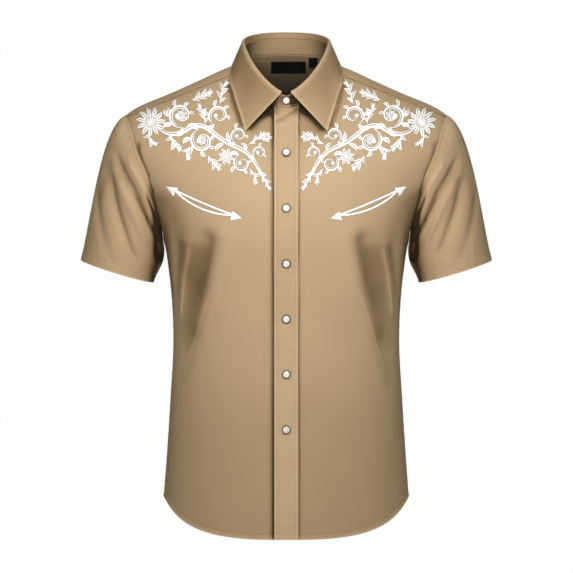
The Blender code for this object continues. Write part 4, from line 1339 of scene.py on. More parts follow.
    def build_leaf(self) -> list[Line]:
        """The leaf. Returns the lines of its stitches."""
        angle = self.angles(math.pi - self.leaf_end, 230)
        points = self.leaf_rows(angle, spaced(30, end=(14, 0.16))[1:])
        normals = facing(points, np.zeros_like(points) + self.out(angle)[None], row=-1)
        end = {"band": 0.0002, "groove": 0.0001, "shade": -0.05, "light": 0.7, "lit": 0.003}
        head = {"band": 0.0003, "groove": 0.0003, "shade": -0.25, "light": 1.1, "lit": 0.0032}
        kinds = {Edge.START: end, Edge.END: end, Edge.HEAD: head}
        seams = [Seam(edge, self.topstitch, pucker=0.0001, **kind) for edge, kind in kinds.items()]
        grid = ClothGrid(points, normals, self.leaf_tone(points)).seamed(seams)
        Sewn.panel("collar_leaf", grid, self.cloth, STIFF_CLOTH)
        return [grid.line(edge, self.topstitch, clear=self.topstitch) for edge in kinds]

    def build(self) -> None:
        """Both pieces and their stitches."""
        Sewn.stitches("collar", self.build_stand() + self.build_leaf(), self.thread)


@dataclass
class Trim:
    """The placket, the labels and the snaps."""

    cloth: Faces
    thread: Finish
    label: Finish
    metal: Finish
    pearl: Finish
    body: Body
    collar: Collar
    face: float = LAYER_GAP + 0.0001 + STIFF_CLOTH
    top_clear: float = 0.0012
    band: float = 0.0052
    foot_band: float = 0.0065
    labels: tuple[tuple[str, Pair, Pair], ...] = (
        ("neck_label", (0.053, 0.0165), (0.0033, -0.0002)),
        ("size_tab", (0.013, 0.013), (0.0415, 0.0072)),
    )
    label_wall: float = 0.001
    label_drop: float = 0.0015
    label_turning: float = 0.001
    ripple: float = 0.0002
    top_snap: float = -0.1305
    snap_spacing: float = 0.0831
    placket_snaps: int = 6
    snaps_at: Pair = (0.35, 0.7)
    snap_dip: float = 0.0004
    # Placket creases with painted shade and light, and painted shade at its top, under the collar.
    creases: tuple[Fold, ...] = (
        Fold(3.6, -0.066, -3.2, -0.083, 0.0026, -0.0014, -0.55),
        Fold(3.9, -0.074, -1.5, -0.09, 0.003, 0.0005, 0.15),
        Fold(-4, -0.062, 4, -0.062, 0.006, 0, -0.4),
        Fold(-5, -0.06, -4.9, -0.07, 0.005, 0, -1.4),
        Fold(5, -0.06, 4.9, -0.072, 0.006, 0, -1.1),
    )
    # Painted light on the placket, growing from light_start down over light_span.
    light_start: float = -0.20
    light_span: float = -0.35
    lightness: float = 0.45
    # A ring of painted shade round each snap.
    snap_shade: float = 1.1
    snap_shade_width: float = 0.0013
    stand_snap: float = -0.0516
    snap_lift: float = 0.0004
    bezel_radius: float = 0.0062
    bezel_floor: float = 0.0006
    bezel_height: float = 0.0014
    pearl_radius: float = 0.0050
    pearl_base: float = 0.0009
    pearl_shoulder: float = 0.0016
    pearl_crown: float = 0.0026

    def build_placket(self) -> None:
        """The placket, on the left front and over the right one, with both bands stitched."""
        across = spaced(16, start=(14, 0.17), end=(14, 0.17))
        x = self.body.placket_half_width * (2 * across[None, :] - 1)
        top = FORM.neckline(np.arcsin(x / FORM.neck_half_width))[..., 1] - self.top_clear
        height = blend(self.body.front_hem, top, spaced(420, start=(10, 0.006))[:, None])
        chart = charted(FORM.theta_of_x(x, height), height)
        creases = (self.creases, *parts(chart), BODY_SCALE)
        turns = (height - self.top_snap) / self.snap_spacing
        lift = self.face + fold_sum(*creases) - self.snap_dip * np.cos(2 * math.pi * turns)
        side = {"groove": 0.0002, "shade": -0.12}
        seams = (
            Seam(Edge.START, self.band, light=0.9, lit=0.0019, **side),
            Seam(Edge.END, self.band, light=0.5, lit=0.0017, **side),
            Seam(Edge.FOOT, self.foot_band, groove=0.0003, shade=-0.15),
        )
        # Painted light towards the hem, and painted shade from the creases and round each snap.
        light = self.lightness * smooth_step(height, self.light_start, self.light_span)
        tone = fold_sum(*creases, "shade") + light
        nearest = np.round(np.clip(turns, 1 - self.placket_snaps, 0))
        apart = np.hypot(x, (turns - nearest) * self.snap_spacing)
        tone = tone - self.snap_shade * hump(apart - self.bezel_radius, self.snap_shade_width)
        grid = ClothGrid(FORM.at(chart, lift), FORM.normal(chart), tone).seamed(seams)
        Sewn.panel("placket", grid, self.cloth, STIFF_CLOTH, ["front_left_cloth"])
        lines = [grid.line(edge, self.band) for edge in (Edge.START, Edge.END)]
        Sewn.stitches("placket", lines, self.thread)

    def build_labels(self) -> None:
        """The bare labels, by name, size and centre, on the inner face of the yoke."""
        for name, size, centre in self.labels:
            across, up = np.linspace(-0.5, 0.5, 41)[None, :], np.linspace(-0.5, 0.5, 19)[:, None]
            x, height = np.broadcast_arrays(centre[0] + size[0] * across, centre[1] + size[1] * up)
            chart = charted(math.pi - FORM.theta_of_x(x, height), height)
            ripple = self.ripple * np.sin(x / 0.0061) * np.sin(height / 0.0043)
            points = FORM.at(chart, ripple - CLOTH - self.label_drop)
            grid = ClothGrid(points, FORM.normal(chart))
            made = sheet(f"{name}_weave", grid, self.label_wall, Faces(self.label, self.label))
            Sewn.add(made, "black_label", name)
            cut = tuple(side + 2 * self.label_turning for side in size)

    def snap_frames(self) -> list[Matrix]:
        """The place and turn of each snap: its x axis runs across, and its z axis outwards."""
        foot, head = self.collar.stand_rows(np.radians((-1.0, 1.0)), self.snaps_at).mean(axis=1)
        up = unit(head - foot)
        across = np.array((1.0, 0.0, 0.0))
        outward = np.cross(across, up)
        origin = foot + up * (self.stand_snap - foot[2]) / up[2] + outward * self.snap_lift
        places = [(up, outward, origin)]
        for k in range(self.placket_snaps):
            chart = charted(0.0, self.top_snap - k * self.snap_spacing)
            outward = unit(FORM.normal(chart) * np.array((0.0, 1.0, 1.0)))
            origin = FORM.at(chart) + outward * (self.face + self.snap_lift)
            places.append((np.cross(outward, across), outward, origin))
        frames = [np.eye(4) for _ in places]
        for frame, place in zip(frames, places):
            frame[:3] = np.stack([across, *place], axis=1)
        return [Matrix(frame.tolist()) for frame in frames]

    @staticmethod
    def turned(name: str, rings: Sequence[Pair], finish: Finish) -> Piece:
        """A closed round piece, extruded ring by ring from a disc.

        Args:
            name: The piece's name.
            rings: (radius, rise) of each ring, from the back disc to the front one.
            finish: Its material.

        Returns:
            The piece, at the origin with its front upwards.
        """
        pick()
        radius, rise = rings[0]
        bpy.ops.mesh.primitive_circle_add(
            vertices=40, radius=radius, fill_type="NGON", location=(0, 0, rise)
        )
        made = named_last(name)
        bpy.ops.object.transform_apply()
        bpy.ops.object.mode_set(mode="EDIT")
        bpy.ops.mesh.select_all(action="SELECT")
        for (last, below), (radius, rise) in zip(rings, rings[1:]):
            move = {"value": (0.0, 0.0, rise - below)}
            bpy.ops.mesh.extrude_region_move(TRANSFORM_OT_translate=move)
            share = radius / last
            bpy.ops.transform.resize(value=(share, share, 1.0))
        bpy.ops.mesh.select_all(action="SELECT")
        bpy.ops.mesh.normals_make_consistent(inside=False)
        bpy.ops.object.mode_set(mode="OBJECT")
        smoothed(made, 45)
        made.data.materials.append(finish)
        return made

    def build_snaps(self) -> None:
        """Seven snaps: each a domed pearl in a shallow metal cup, modelled once and copied."""
        outer, rim, inner = self.bezel_radius, self.bezel_height, self.pearl_radius + 0.0003
        cup = [(outer - 0.0004, 0.0), (outer - 0.0001, 0.0003), (outer, rim * 0.6)]
        cup += [(outer - 0.0002, rim - 0.0001), (outer - 0.0003, rim)]
        cup += [(inner, rim - 0.0001), (inner, self.bezel_floor)]
        radius, base, shoulder = self.pearl_radius, self.pearl_base, self.pearl_shoulder
        dome = [(radius - 0.0002, base), (radius, base + 0.0002), (radius, shoulder)]
        for share in (0.94, 0.86, 0.74, 0.60, 0.52):
            rise = blend(shoulder, self.pearl_crown, math.sqrt(1 - share**2))
            dome.append((radius * share, rise))
        well = dome[-1][1]
        for share, rise in ((0.46, -0.00015), (0.40, -0.00012), (0.34, 0.0001), (0.18, 0.0002)):
            dome.append((radius * share, well + rise))
        models = (
            ("snap_cup", self.turned("snap_cup_model", cup, self.metal), "snap_metal"),
            ("snap_pearl", self.turned("snap_pearl_model", dome, self.pearl), "pearl"),
        )
        for number, frame in enumerate(self.snap_frames(), start=1):
            for name, model, slot in models:
                pick(model)
                bpy.ops.object.duplicate()
                made = named_last(f"{name}_{number}_turned")
                made.matrix_world = frame
                bpy.ops.object.transform_apply()
                Sewn.add(made, slot, f"{name}_{number}")
        for _, model, _ in models:
            bpy.data.objects.remove(model)

    def build(self) -> None:
        """Every piece of trim."""
        self.build_placket()
        self.build_labels()
        self.build_snaps()


# The embroidery: satin-stitched shapes on both fronts.


@dataclass(frozen=True)
class Strip:
    """One satin-stitched shape: a centre line in front view, in millimetres, and its half width.

    Its rows are swept back at their sides by the sweep's share of the half width."""

    line: Array
    half: Array
    sweep: float = 0.0

    def rows(self, across: Array, grown: float = 0.0) -> Array:
        """Points of the shape, for each row across its half width, made wider all round."""
        ahead, side = ways_along(self.line)
        half = (self.half + grown)[:, None, None] * across[None, :, None]
        points = self.line[:, None, :] + side[:, None, :] * half
        return points - ahead[:, None, :] * np.abs(half) * self.sweep


def ways_along(line: Array) -> tuple[Array, Array]:
    """The directions along a line in front view, and those to its left."""
    ahead = unit(np.gradient(line, axis=0))
    return ahead, np.stack([-ahead[:, 1], ahead[:, 0]], axis=-1)


def bezier(points: Sequence[Spot], count: int) -> Array:
    """Points along a cubic curve through its end points."""
    t = np.linspace(0, 1, count)[:, None]
    a, b, c, d = (np.array(point) for point in points)
    return a * (1 - t) ** 3 + 3 * b * t * (1 - t) ** 2 + 3 * c * t * t * (1 - t) + d * t**3


def strands(line: Array, half: Array, gap: Array | float, share: float = 0.5) -> list[Strip]:
    """Two strips side by side in the place of a wide one.

    Args:
        line: The centre line of the wide one.
        half: Its half width along the line.
        gap: The bare width between the two.
        share: The first one's share of the width.

    Returns:
        The two strips.
    """
    _, across = ways_along(line)
    split = half * (2 * share - 1)
    bare = np.minimum(gap, half * 0.6) / 2
    strips = []
    for low, high in ((-half, split - bare), (split + bare, half)):
        centre = line + across * ((low + high) / 2)[:, None]
        strips.append(Strip(centre, np.maximum(high - low, 0.3) / 2))
    return strips


@dataclass(frozen=True)
class Stem:
    """A curved stem of two strands, a thin one and a thick one."""

    points: tuple[Pair, ...]
    widths: Triple
    share: float = 0.38
    gap: float = 1.0

    def strips(self) -> list[Strip]:
        """Its strands."""
        line = bezier(self.points, 26)
        t = np.linspace(0, 1, len(line))
        half = np.interp(t, (0, 0.5, 1), self.widths) / 2
        return strands(line, half, self.gap, self.share)


@dataclass(frozen=True)
class Scroll:
    """A tendril of two strands that winds into a round bud, with leaves along its outside.

    It starts on its circle, at an angle in degrees."""

    centre: Pair
    radius: float
    start: float
    turns: float
    width: float = 3.0
    leaves: int = 0
    leaf: float = 12.0
    gap: float = 1.0

    def strips(self) -> list[Strip]:
        """The leaves, the tendril and its bud."""
        t = np.linspace(0, 1, 44)
        angle = math.radians(self.start) + 2 * math.pi * self.turns * t
        radius = self.radius * (1 - 0.70 * t**0.9)
        way = np.stack([np.cos(angle), np.sin(angle)], axis=-1)
        line = np.array(self.centre) + radius[:, None] * way
        half = self.width / 2 * np.interp(t, (0, 0.14, 0.45, 1), (0.12, 0.95, 1.0, 0.3))
        ahead = unit(np.gradient(line, axis=0))
        strips: list[Strip] = []
        for k in range(self.leaves):
            row = int((0.03 + 0.56 * k / max(self.leaves - 1, 1)) * (len(t) - 1))
            size = self.leaf * (1 - 0.45 * k / max(self.leaves, 1))
            lean = unit(way[row] * 0.75 + ahead[row] * 0.9)
            base, tip = line[row] + lean * half[row] * 1.1, line[row] + lean * size
            bend = -0.30 * math.copysign(1, self.turns)
            strips += Leaf(base, tip, size * 0.44, bend).strips()
        share = 0.5 + 0.14 * math.copysign(1, self.turns)
        strips += strands(line, half, self.gap, share)
        return strips + Bud(line[-1], self.width * 0.55).strips()


@dataclass(frozen=True)
class Bud:
    """A round dot."""

    centre: Spot
    radius: float

    def strips(self) -> list[Strip]:
        """Its one strip."""
        turn = np.linspace(-0.97, 0.97, 11) * math.pi / 2
        along = np.stack([np.sin(turn), np.zeros_like(turn)], axis=-1) * self.radius
        return [Strip(np.array(self.centre) + along, self.radius * np.cos(turn))]


@dataclass(frozen=True)
class Leaf:
    """A pointed leaf that bends to one side, in two halves with a vein between them."""

    base: Spot
    tip: Spot
    width: float
    bend: float = 0.15
    vein: float = 0.8

    def strips(self) -> list[Strip]:
        """Its two halves."""
        base, tip = np.array(self.base), np.array(self.tip)
        run = tip - base
        side = np.array((-run[1], run[0]))
        middle = [base + run * k + side * self.bend for k in (0.35, 0.7)]
        line = bezier((self.base, *middle, self.tip), 15)
        t = np.linspace(0, 1, len(line))
        half = self.width / 2 * np.sin(math.pi * t**0.75) ** 0.8 + 0.15
        vein = np.minimum(self.vein, self.width * 0.2) * np.sin(math.pi * t)
        return strands(line, half, vein)


@dataclass(frozen=True)
class Flower:
    """An open flower: rings of pointed petals round a dot."""

    centre: Pair
    radius: float
    petals: int
    turn: float = 0.0
    rings: int = 1

    def strips(self) -> list[Strip]:
        """The petals and the dot."""
        strips: list[Strip] = []
        for ring in range(self.rings):
            outer = self.radius * (1 - 0.46 * ring)
            inner = outer * (0.40 if ring + 1 < self.rings else 0.22)
            width = 2 * math.pi * outer * 0.50 / self.petals
            for k in range(self.petals):
                angle = math.radians(self.turn) + 2 * math.pi * (k + ring / 2) / self.petals
                way = np.array((math.cos(angle), math.sin(angle)))
                ends = [np.array(self.centre) + way * reach for reach in (inner, outer)]
                strips += Leaf(*ends, width, 0.12).strips()
        return strips + Bud(self.centre, self.radius * 0.13).strips()


@dataclass(frozen=True)
class Frond:
    """A curved rib with leaves along it, largest in the middle, and one at its end."""

    points: tuple[Pair, ...]
    leaves: int
    length: float
    width: float = 6.0
    sides: tuple[int, ...] = (1, -1)
    splay: float = 44.0
    rib: float = 2.6

    def strips(self) -> list[Strip]:
        """The rib and its leaves."""
        line = bezier(self.points, 60)
        ahead, left = ways_along(line)
        strips: list[Strip] = []
        for k in range(self.leaves):
            share = (k + 0.6) / (self.leaves + 0.2)
            row = int(share * (len(line) - 1))
            size = 0.62 + 0.38 * math.sin(math.pi * share)
            side = self.sides[k % len(self.sides)]
            turn = math.radians(self.splay * (1.0 - 0.35 * share)) * side
            way = ahead[row] * math.cos(turn) + left[row] * math.sin(turn)
            way = way * self.length * size
            base, tip = line[row] + way * 0.12, line[row] + way
            strips += Leaf(base, tip, self.width * size, -0.26 * side).strips()
        end = line[-1] + ahead[-1] * self.length * 0.55
        strips += Leaf(line[-4], end, self.width * 0.7, 0.08).strips()
        t = np.linspace(0, 1, 20)
        shares = np.linspace(0, 1, len(line))
        rib = np.stack([np.interp(t, shares, line[:, k]) for k in (0, 1)], axis=-1)
        strips.append(Strip(rib, self.rib / 2 * np.interp(t, (0, 0.2, 1), (0.15, 1.0, 0.35))))
        return strips


@dataclass(frozen=True)
class Arrow:
    """A bow with an arrowhead at each end: two thin lines, the lower one more bent."""

    outer: Pair = (180.3, -180.8)
    inner: Pair = (66.2, -228.8)
    head: Pair = (17.5, 7.2)
    line: float = 3.1

    def strips(self) -> list[Strip]:
        """The two lines and the two heads."""
        outer, inner = np.array(self.outer), np.array(self.inner)
        way = unit(inner - outer)
        below = np.array((way[1], -way[0]))
        below = below if below[1] < 0 else -below
        start, end = outer + way * self.head[0] * 0.8, inner - way * self.head[0] * 0.8
        strips = []
        for bow in (2.0, 13.5):
            middle = [blend(start, end, k) + below * bow for k in (0.28, 0.72)]
            line = bezier((start, *middle, end), 26)
            strips.append(Strip(line, np.full(len(line), self.line / 2)))
        t = np.linspace(0, 1, 9)
        for tip, ahead, lean in ((outer, way, -1), (inner, -way, -1)):
            turned = unit(ahead + below * 0.13 * -lean)
            line = tip + turned * (self.head[0] * t[:, None] * 0.78)
            strips.append(Strip(line, 0.2 + self.head[1] * t, -0.42))
        return strips


MOTIFS = (
    # Scrolls on both sides of the stem.
    Scroll((158, -74), 19, -110, 1.25, 6.2, 6, 17),
    Scroll((126, -112), 18, 80, -1.25, 6.2, 6, 18),
    Scroll((101, -74), 16, -75, 1.2, 5.6, 5, 16),
    Scroll((71, -104), 12, -70, 1.15, 4.8, 3, 13),
    Scroll((66, -146), 13, 75, -1.2, 5.2, 4, 14),
    Scroll((40, -130), 10, -50, 1.15, 4.6, 3, 11),
    # The main stem, from the large flower to the placket.
    Stem(((196, -88), (180, -108), (160, -104), (144, -92)), (3.4, 6.6, 6.8)),
    Stem(((144, -92), (124, -82), (112, -100), (95, -111)), (6.8, 7.2, 6.8)),
    Stem(((95, -111), (78, -123), (60, -122), (46, -146)), (6.8, 6.4, 5.6)),
    Stem(((46, -146), (40, -158), (34, -168), (26, -182)), (5.6, 4.2, 1.8)),
    # Leaves.
    Frond(((100, -58), (98, -50), (98, -40), (92, -28)), 5, 15, 6),
    Frond(((142, -52), (136, -48), (128, -45), (117, -41)), 6, 15, 5.6),
    Frond(((172, -102), (174, -108), (170, -116), (162, -122)), 5, 15, 6.4),
    Frond(((118, -134), (114, -139), (110, -145), (103, -151)), 5, 15, 6),
    Frond(((42, -152), (36, -162), (32, -170), (26, -182)), 6, 12, 5),
    Frond(((56, -154), (50, -160), (46, -164), (46, -174)), 4, 12, 5),
    Frond(((57, -118), (50, -113), (44, -110), (38, -104)), 4, 11, 5),
    Frond(((204, -100), (208, -106), (206, -110), (198, -116)), 4, 13, 5.6),
    Leaf((180, -76), (178, -62), 6, 0.25),
    Leaf((184, -92), (173, -86), 5, -0.2),
    Frond(((122, -87), (121, -80), (124, -72), (130, -62)), 5, 13, 5.6),
    Frond(((146, -122), (150, -126), (150, -130), (147, -136)), 3, 12, 5.6),
    Leaf((83, -113), (87, -98), 6, -0.25),
    Leaf((60, -126), (68, -116), 5.4, 0.25),
    Leaf((94, -117), (106, -128), 6.4, 0.25),
    # Flowers.
    Flower((203, -84), 22, 11, 8, 2),
    Flower((158, -74), 9, 7, 0),
    Flower((126, -112), 8, 7, 20),
    Flower((90, -136), 13, 8, 15, 2),
    Flower((30, -106), 9, 6, 0),
    Arrow(),
)


@dataclass
class Embroidery:
    """Raised white shapes on both fronts, each on a thin dark edge of thread and painted shadow."""

    satin: Finish
    shadow: Finish
    body: Body
    crown: float = 0.0007
    edge: float = 0.45

    def shapes(self, side: Side, profile: Sequence[Pair], grown: float) -> list:
        """Every strip on one front, as a closed shape.

        Args:
            side: The front.
            profile: (share of the half width, rise) round the cross-section.
            grown: How much wider than drawn the strips are, in millimetres a side.

        Returns:
            (points, faces, UVs) of each.
        """
        across = np.array([point[0] for point in profile])
        rises = np.array([point[1] for point in profile])
        shapes = []
        for strip in (strip for motif in MOTIFS for strip in motif.strips()):
            flat = strip.rows(across, grown) / 1000
            x, height = side.value * flat[..., 0], flat[..., 1]
            lift = rises[None, :] + self.body.dip(side, np.abs(x))
            points = FORM.at(charted(FORM.theta_of_x(x, height), height), lift)
            count, ring = flat.shape[:2]
            run = run_of(strip.line / 1000)[:, None]
            own = charted(run, strip.half[:, None] * across[None] / 1000)
            faces = [tuple(range(ring)), tuple((count - 1) * ring + k for k in range(ring))[::-1]]
            for row in range(count - 1):
                for k in range(ring):
                    n, low = (k + 1) % ring, row * ring
                    faces.append((low + k, low + ring + k, low + ring + n, low + n))
            shapes.append((points.reshape(-1, 3), faces, own.reshape(-1, 2)))
        return shapes

    def build(self) -> None:
        """The white shapes and their dark edges of thread and painted shadow, on each front."""
        top = ((-1, 0.0), (-0.66, 0.66), (0, 1), (0.66, 0.66), (1, 0.0))
        raised = [(share, 0.0002 + self.crown * rise) for share, rise in top]
        raised += [(0.9, -0.0004), (-0.9, -0.0004)]
        flat = [(-1, 0.0), (-0.9, 0.00018), (0.9, 0.00018), (1, 0.0)]
        flat += [(0.9, -0.0005), (-0.9, -0.0005)]
        for side in Side:
            white = self.shapes(side, raised, 0.0)
            Sewn.add(joined(f"embroidery_{side.word}", white, self.satin), "white_thread")
            # A wider dark copy under each white shape: a brown outline, and the painted shadow
            # round it.
            dark = self.shapes(side, flat, self.edge)
            Sewn.add(joined(f"embroidery_edges_{side.word}", dark, self.shadow), "tan_cloth")


# Finishes.


def scaled(colour: Colour, by: float | Colour) -> Colour:
    """A colour times a number, or times another colour."""
    return tuple(float(value) for value in np.array(colour) * by)


class Shade:
    """A number that varies over a surface. Operators on it add Math nodes."""

    def __init__(self, recipe: Recipe, socket: Socket) -> None:
        """Wraps a socket of a recipe."""
        self.recipe, self.socket = recipe, socket

    def math(self, operation: str, *values: Shade | float, held: bool = False) -> Shade:
        """A Math node over these values."""
        settings = {"operation": operation, "use_clamp": held}
        node = self.recipe.node("Math", settings, dict(enumerate(values)))
        return Shade(self.recipe, node.outputs[0])

    def __add__(self, other: Shade | float) -> Shade:
        """Adds."""
        return self.math("ADD", self, other)

    def __sub__(self, other: Shade | float) -> Shade:
        """Subtracts."""
        return self.math("SUBTRACT", self, other)

    def __rsub__(self, other: float) -> Shade:
        """Subtracts this from a number."""
        return self.math("SUBTRACT", other, self)

    def __mul__(self, other: Shade | float) -> Shade:
        """Multiplies."""
        return self.math("MULTIPLY", self, other)

    def held(self) -> Shade:
        """This, held between 0 and 1."""
        return self.math("ADD", self, 0.0, held=True)

    def wave(self) -> Shade:
        """Its sine, as a wave between 0 and 1."""
        return self.math("SINE", self) * 0.5 + 0.5


class Recipe:
    """The nodes of one material, or of the world."""

    def __init__(self, name: str, kind: str = "materials") -> None:
        """Starts an empty material or world."""
        self.made = getattr(bpy.data, kind).new(name)
        self.made.use_nodes = True
        self.tree = self.made.node_tree
        self.tree.nodes.clear()

    def node(
        self, kind: str, settings: dict | None = None, inputs: dict | None = None
    ) -> bpy.types.Node:
        """Adds a node.

        Args:
            kind: Its type, without ShaderNode.
            settings: Its own settings, set before its sockets.
            inputs: Values or links of its sockets, by name or place.

        Returns:
            The node.
        """
        made = self.tree.nodes.new(f"ShaderNode{kind}")
        for name, value in (settings or {}).items():
            setattr(made, name, value)
        for name, value in (inputs or {}).items():
            value = value.socket if isinstance(value, Shade) else value
            if isinstance(value, Socket):
                self.tree.links.new(value, made.inputs[name])
            else:
                made.inputs[name].default_value = value
        return made

    def place(self) -> Socket:
        """Places in metres, in the shirt's frame."""
        return self.node("TexCoord").outputs["Object"]

    def split(self, places: Socket) -> list[Shade]:
        """The x, y and z of places."""
        return [Shade(self, way) for way in self.node("SeparateXYZ", inputs={0: places}).outputs]

    def weave(self) -> list[Shade]:
        """Places in metres across and along a sheet, from its own map."""
        return self.split(self.node("UVMap").outputs["UV"])[:2]

    def noise(self, size: float, detail: float = 2.0) -> Shade:
        """Soft noise with patches of this size in metres, from 0 to 1."""
        inputs = {"Vector": self.place(), "Scale": 1 / size, "Detail": detail}
        return Shade(self, self.node("TexNoise", inputs=inputs).outputs[0])

    def painted(self, name: str) -> Shade:
        """A number that the mesh holds at its points."""
        return Shade(self, self.node("Attribute", {"attribute_name": name}).outputs["Fac"])

    def mixed(self, share: Shade, start: Colour, end: Colour) -> Socket:
        """A colour between two, which may be links, with the share held between 0 and 1."""
        colours = {6: start, 7: end}
        full = {k: (*c, 1.0) if isinstance(c, tuple) else c for k, c in colours.items()}
        return self.node("Mix", {"data_type": "RGBA"}, {0: share.held(), **full}).outputs[2]

    def bump(self, height: Shade, depth: float) -> Socket:
        """A normal from a height, where 1 stands for this depth in metres."""
        inputs = {"Strength": 1.0, "Distance": depth, "Height": height}
        return self.node("Bump", inputs=inputs).outputs[0]

    def finished(
        self, base: Socket, roughness: Shade | float, more: dict | None = None
    ) -> Finish:
        """Ends the recipe in one shader with this colour, this roughness and more inputs."""
        inputs = {"Base Color": base, "Roughness": roughness, **(more or {})}
        shader = self.node("BsdfPrincipled", inputs=inputs)
        self.node("OutputMaterial", inputs={"Surface": shader.outputs[0]})
        return self.made


@dataclass(frozen=True)
class TanSateen:
    """Smooth tan cotton: fine diagonal ribs, cloudy colour and a soft sheen."""

    colour: Colour = (0.413, 0.297, 0.173)
    # Lit, shaded and deep copies of the colour, for the painted light and shade held in the tone.
    lit: Colour = (1.42, 1.46, 1.56)
    shaded: Colour = (0.53, 0.49, 0.42)
    deep: Colour = (0.035, 0.024, 0.010)
    sheen: Colour = (1.0, 0.80, 0.52)
    roughness: float = 0.50
    rib: float = 0.0009
    bump: float = 0.00006

    def material(self) -> Finish:
        """The material."""
        recipe = Recipe("tan_sateen")
        across, along = recipe.weave()
        ribs = ((across + along) * (2 * math.pi / self.rib)).wave()
        threads = (across * (2 * math.pi / (self.rib * 0.45))).wave()
        cloud, slub = recipe.noise(0.055, 3.0), recipe.noise(0.0022)
        tone = recipe.painted("tone")
        shade = cloud * 0.55 + slub * 0.30 + ribs * 0.15
        base = recipe.mixed(shade, scaled(self.colour, 0.86), scaled(self.colour, 1.12))
        # Painted light towards the lit copy; painted shade towards the shaded, then the deep one.
        base = recipe.mixed(tone * 0.55, base, scaled(self.colour, self.lit))
        base = recipe.mixed(tone * -1.0, base, scaled(self.colour, self.shaded))
        base = recipe.mixed(tone * -1.0 - 1.0, base, scaled(self.colour, self.deep))
        more = {"Normal": recipe.bump(ribs * 0.6 + threads * 0.2 + slub * 0.5, self.bump)}
        more |= {"Sheen Weight": 0.05, "Sheen Roughness": 0.4, "Specular IOR Level": 0.5}
        more |= {name: (*self.sheen, 1.0) for name in ("Specular Tint", "Sheen Tint")}
        return recipe.finished(base, slub * 0.12 + self.roughness, more)


@dataclass(frozen=True)
class ShadedReverse:
    """The cloth's dull inner face, painted darkest just below the neckline, where no light goes."""

    colour: Colour = (0.420, 0.293, 0.152)
    dark: float = 0.05
    light: float = 0.86
    neck_drop: float = 0.045
    neck_span: float = 0.065
    aside: float = 75000
    roughness: float = 0.7

    def material(self) -> Finish:
        """The material."""
        recipe = Recipe("tan_reverse_painted_shade")
        x, _, height = recipe.split(recipe.place())
        slub = recipe.noise(0.0022)
        # Painted shade: darkest below the neckline and out at its sides, easing off lower down.
        upper = ((height + self.neck_drop) * (1 / self.neck_span)).held()
        aside = (x * x * x * x * self.aside).held()
        lower = ((height * -1.0 - 0.08) * 8.0).held() * 0.45
        share = upper * upper * (1.0 - aside) + lower
        dim, full = scaled(self.colour, self.dark), scaled(self.colour, self.light)
        more = {"Specular IOR Level": 0.3, "Normal": recipe.bump(slub, 0.00005)}
        return recipe.finished(recipe.mixed(share, dim, full), slub * 0.1 + self.roughness, more)


@dataclass(frozen=True)
class Thread:
    """Sewing or embroidery thread, twisted or laid side by side across a shape."""

    name: str
    colour: Colour
    roughness: float
    strand: float = 0.00045
    depth: float = 0.00008

    def material(self) -> Finish:
        """The material."""
        recipe = Recipe(self.name)
        along, across = recipe.weave()
        wander = recipe.noise(0.004) * 2.0
        twist = (along * (2 * math.pi / self.strand) + across * 900 + wander).wave()
        patches = recipe.noise(0.006)
        share = twist * 0.45 + patches * 0.55
        base = recipe.mixed(share, scaled(self.colour, 0.88), self.colour)
        more = {"Normal": recipe.bump(twist, self.depth), "Sheen Weight": 0.2}
        return recipe.finished(base, patches * 0.15 + (self.roughness - 0.07), more)


@dataclass(frozen=True)
class PearlFace:
    """The milky face of a snap, with faint clouds under a clear coat."""

    dim: Colour = (0.58, 0.56, 0.52)
    bright: Colour = (0.80, 0.79, 0.76)

    def material(self) -> Finish:
        """The material."""
        recipe = Recipe("pearl_face")
        cloud = recipe.noise(0.0035, 3.0)
        more = {"Coat Weight": 0.5, "Coat Roughness": 0.12}
        base = recipe.mixed(cloud, self.dim, self.bright)
        return recipe.finished(base, cloud * 0.15 + 0.2, more)


@dataclass(frozen=True)
class AgedMetal:
    """The dark rim of a snap, brushed round and a little worn."""

    dim: Colour = (0.06, 0.045, 0.03)
    bright: Colour = (0.17, 0.14, 0.10)

    def material(self) -> Finish:
        """The material."""
        recipe = Recipe("aged_metal")
        worn = recipe.noise(0.0012, 3.0)
        more = {"Metallic": 1.0, "Normal": recipe.bump(worn, 0.00005)}
        base = recipe.mixed(worn, self.dim, self.bright)
        return recipe.finished(base, worn * 0.25 + 0.25, more)


@dataclass(frozen=True)
class BlackWeave:
    """A bare black label, woven with a fine crosswise rib."""

    dim: Colour = (0.0025, 0.0025, 0.003)
    bright: Colour = (0.009, 0.0085, 0.0085)
    thread: float = 0.0005

    def material(self) -> Finish:
        """The material."""
        recipe = Recipe("black_weave")
        across, along = recipe.weave()
        weft = (along * (2 * math.pi / self.thread)).wave()
        warp = (across * (2 * math.pi / (self.thread * 1.6))).wave()
        fuzz = recipe.noise(0.0015)
        base = recipe.mixed(weft * 0.4 + warp * 0.2 + fuzz * 0.4, self.dim, self.bright)
        more = {"Specular IOR Level": 0.12, "Normal": recipe.bump(weft + warp * 0.5, 0.00006)}
        return recipe.finished(base, fuzz * 0.2 + 0.7, more)


class Lamp(NamedTuple):
    """A square soft light that faces the chest."""

    name: str
    place: Triple
    size: float
    power: float


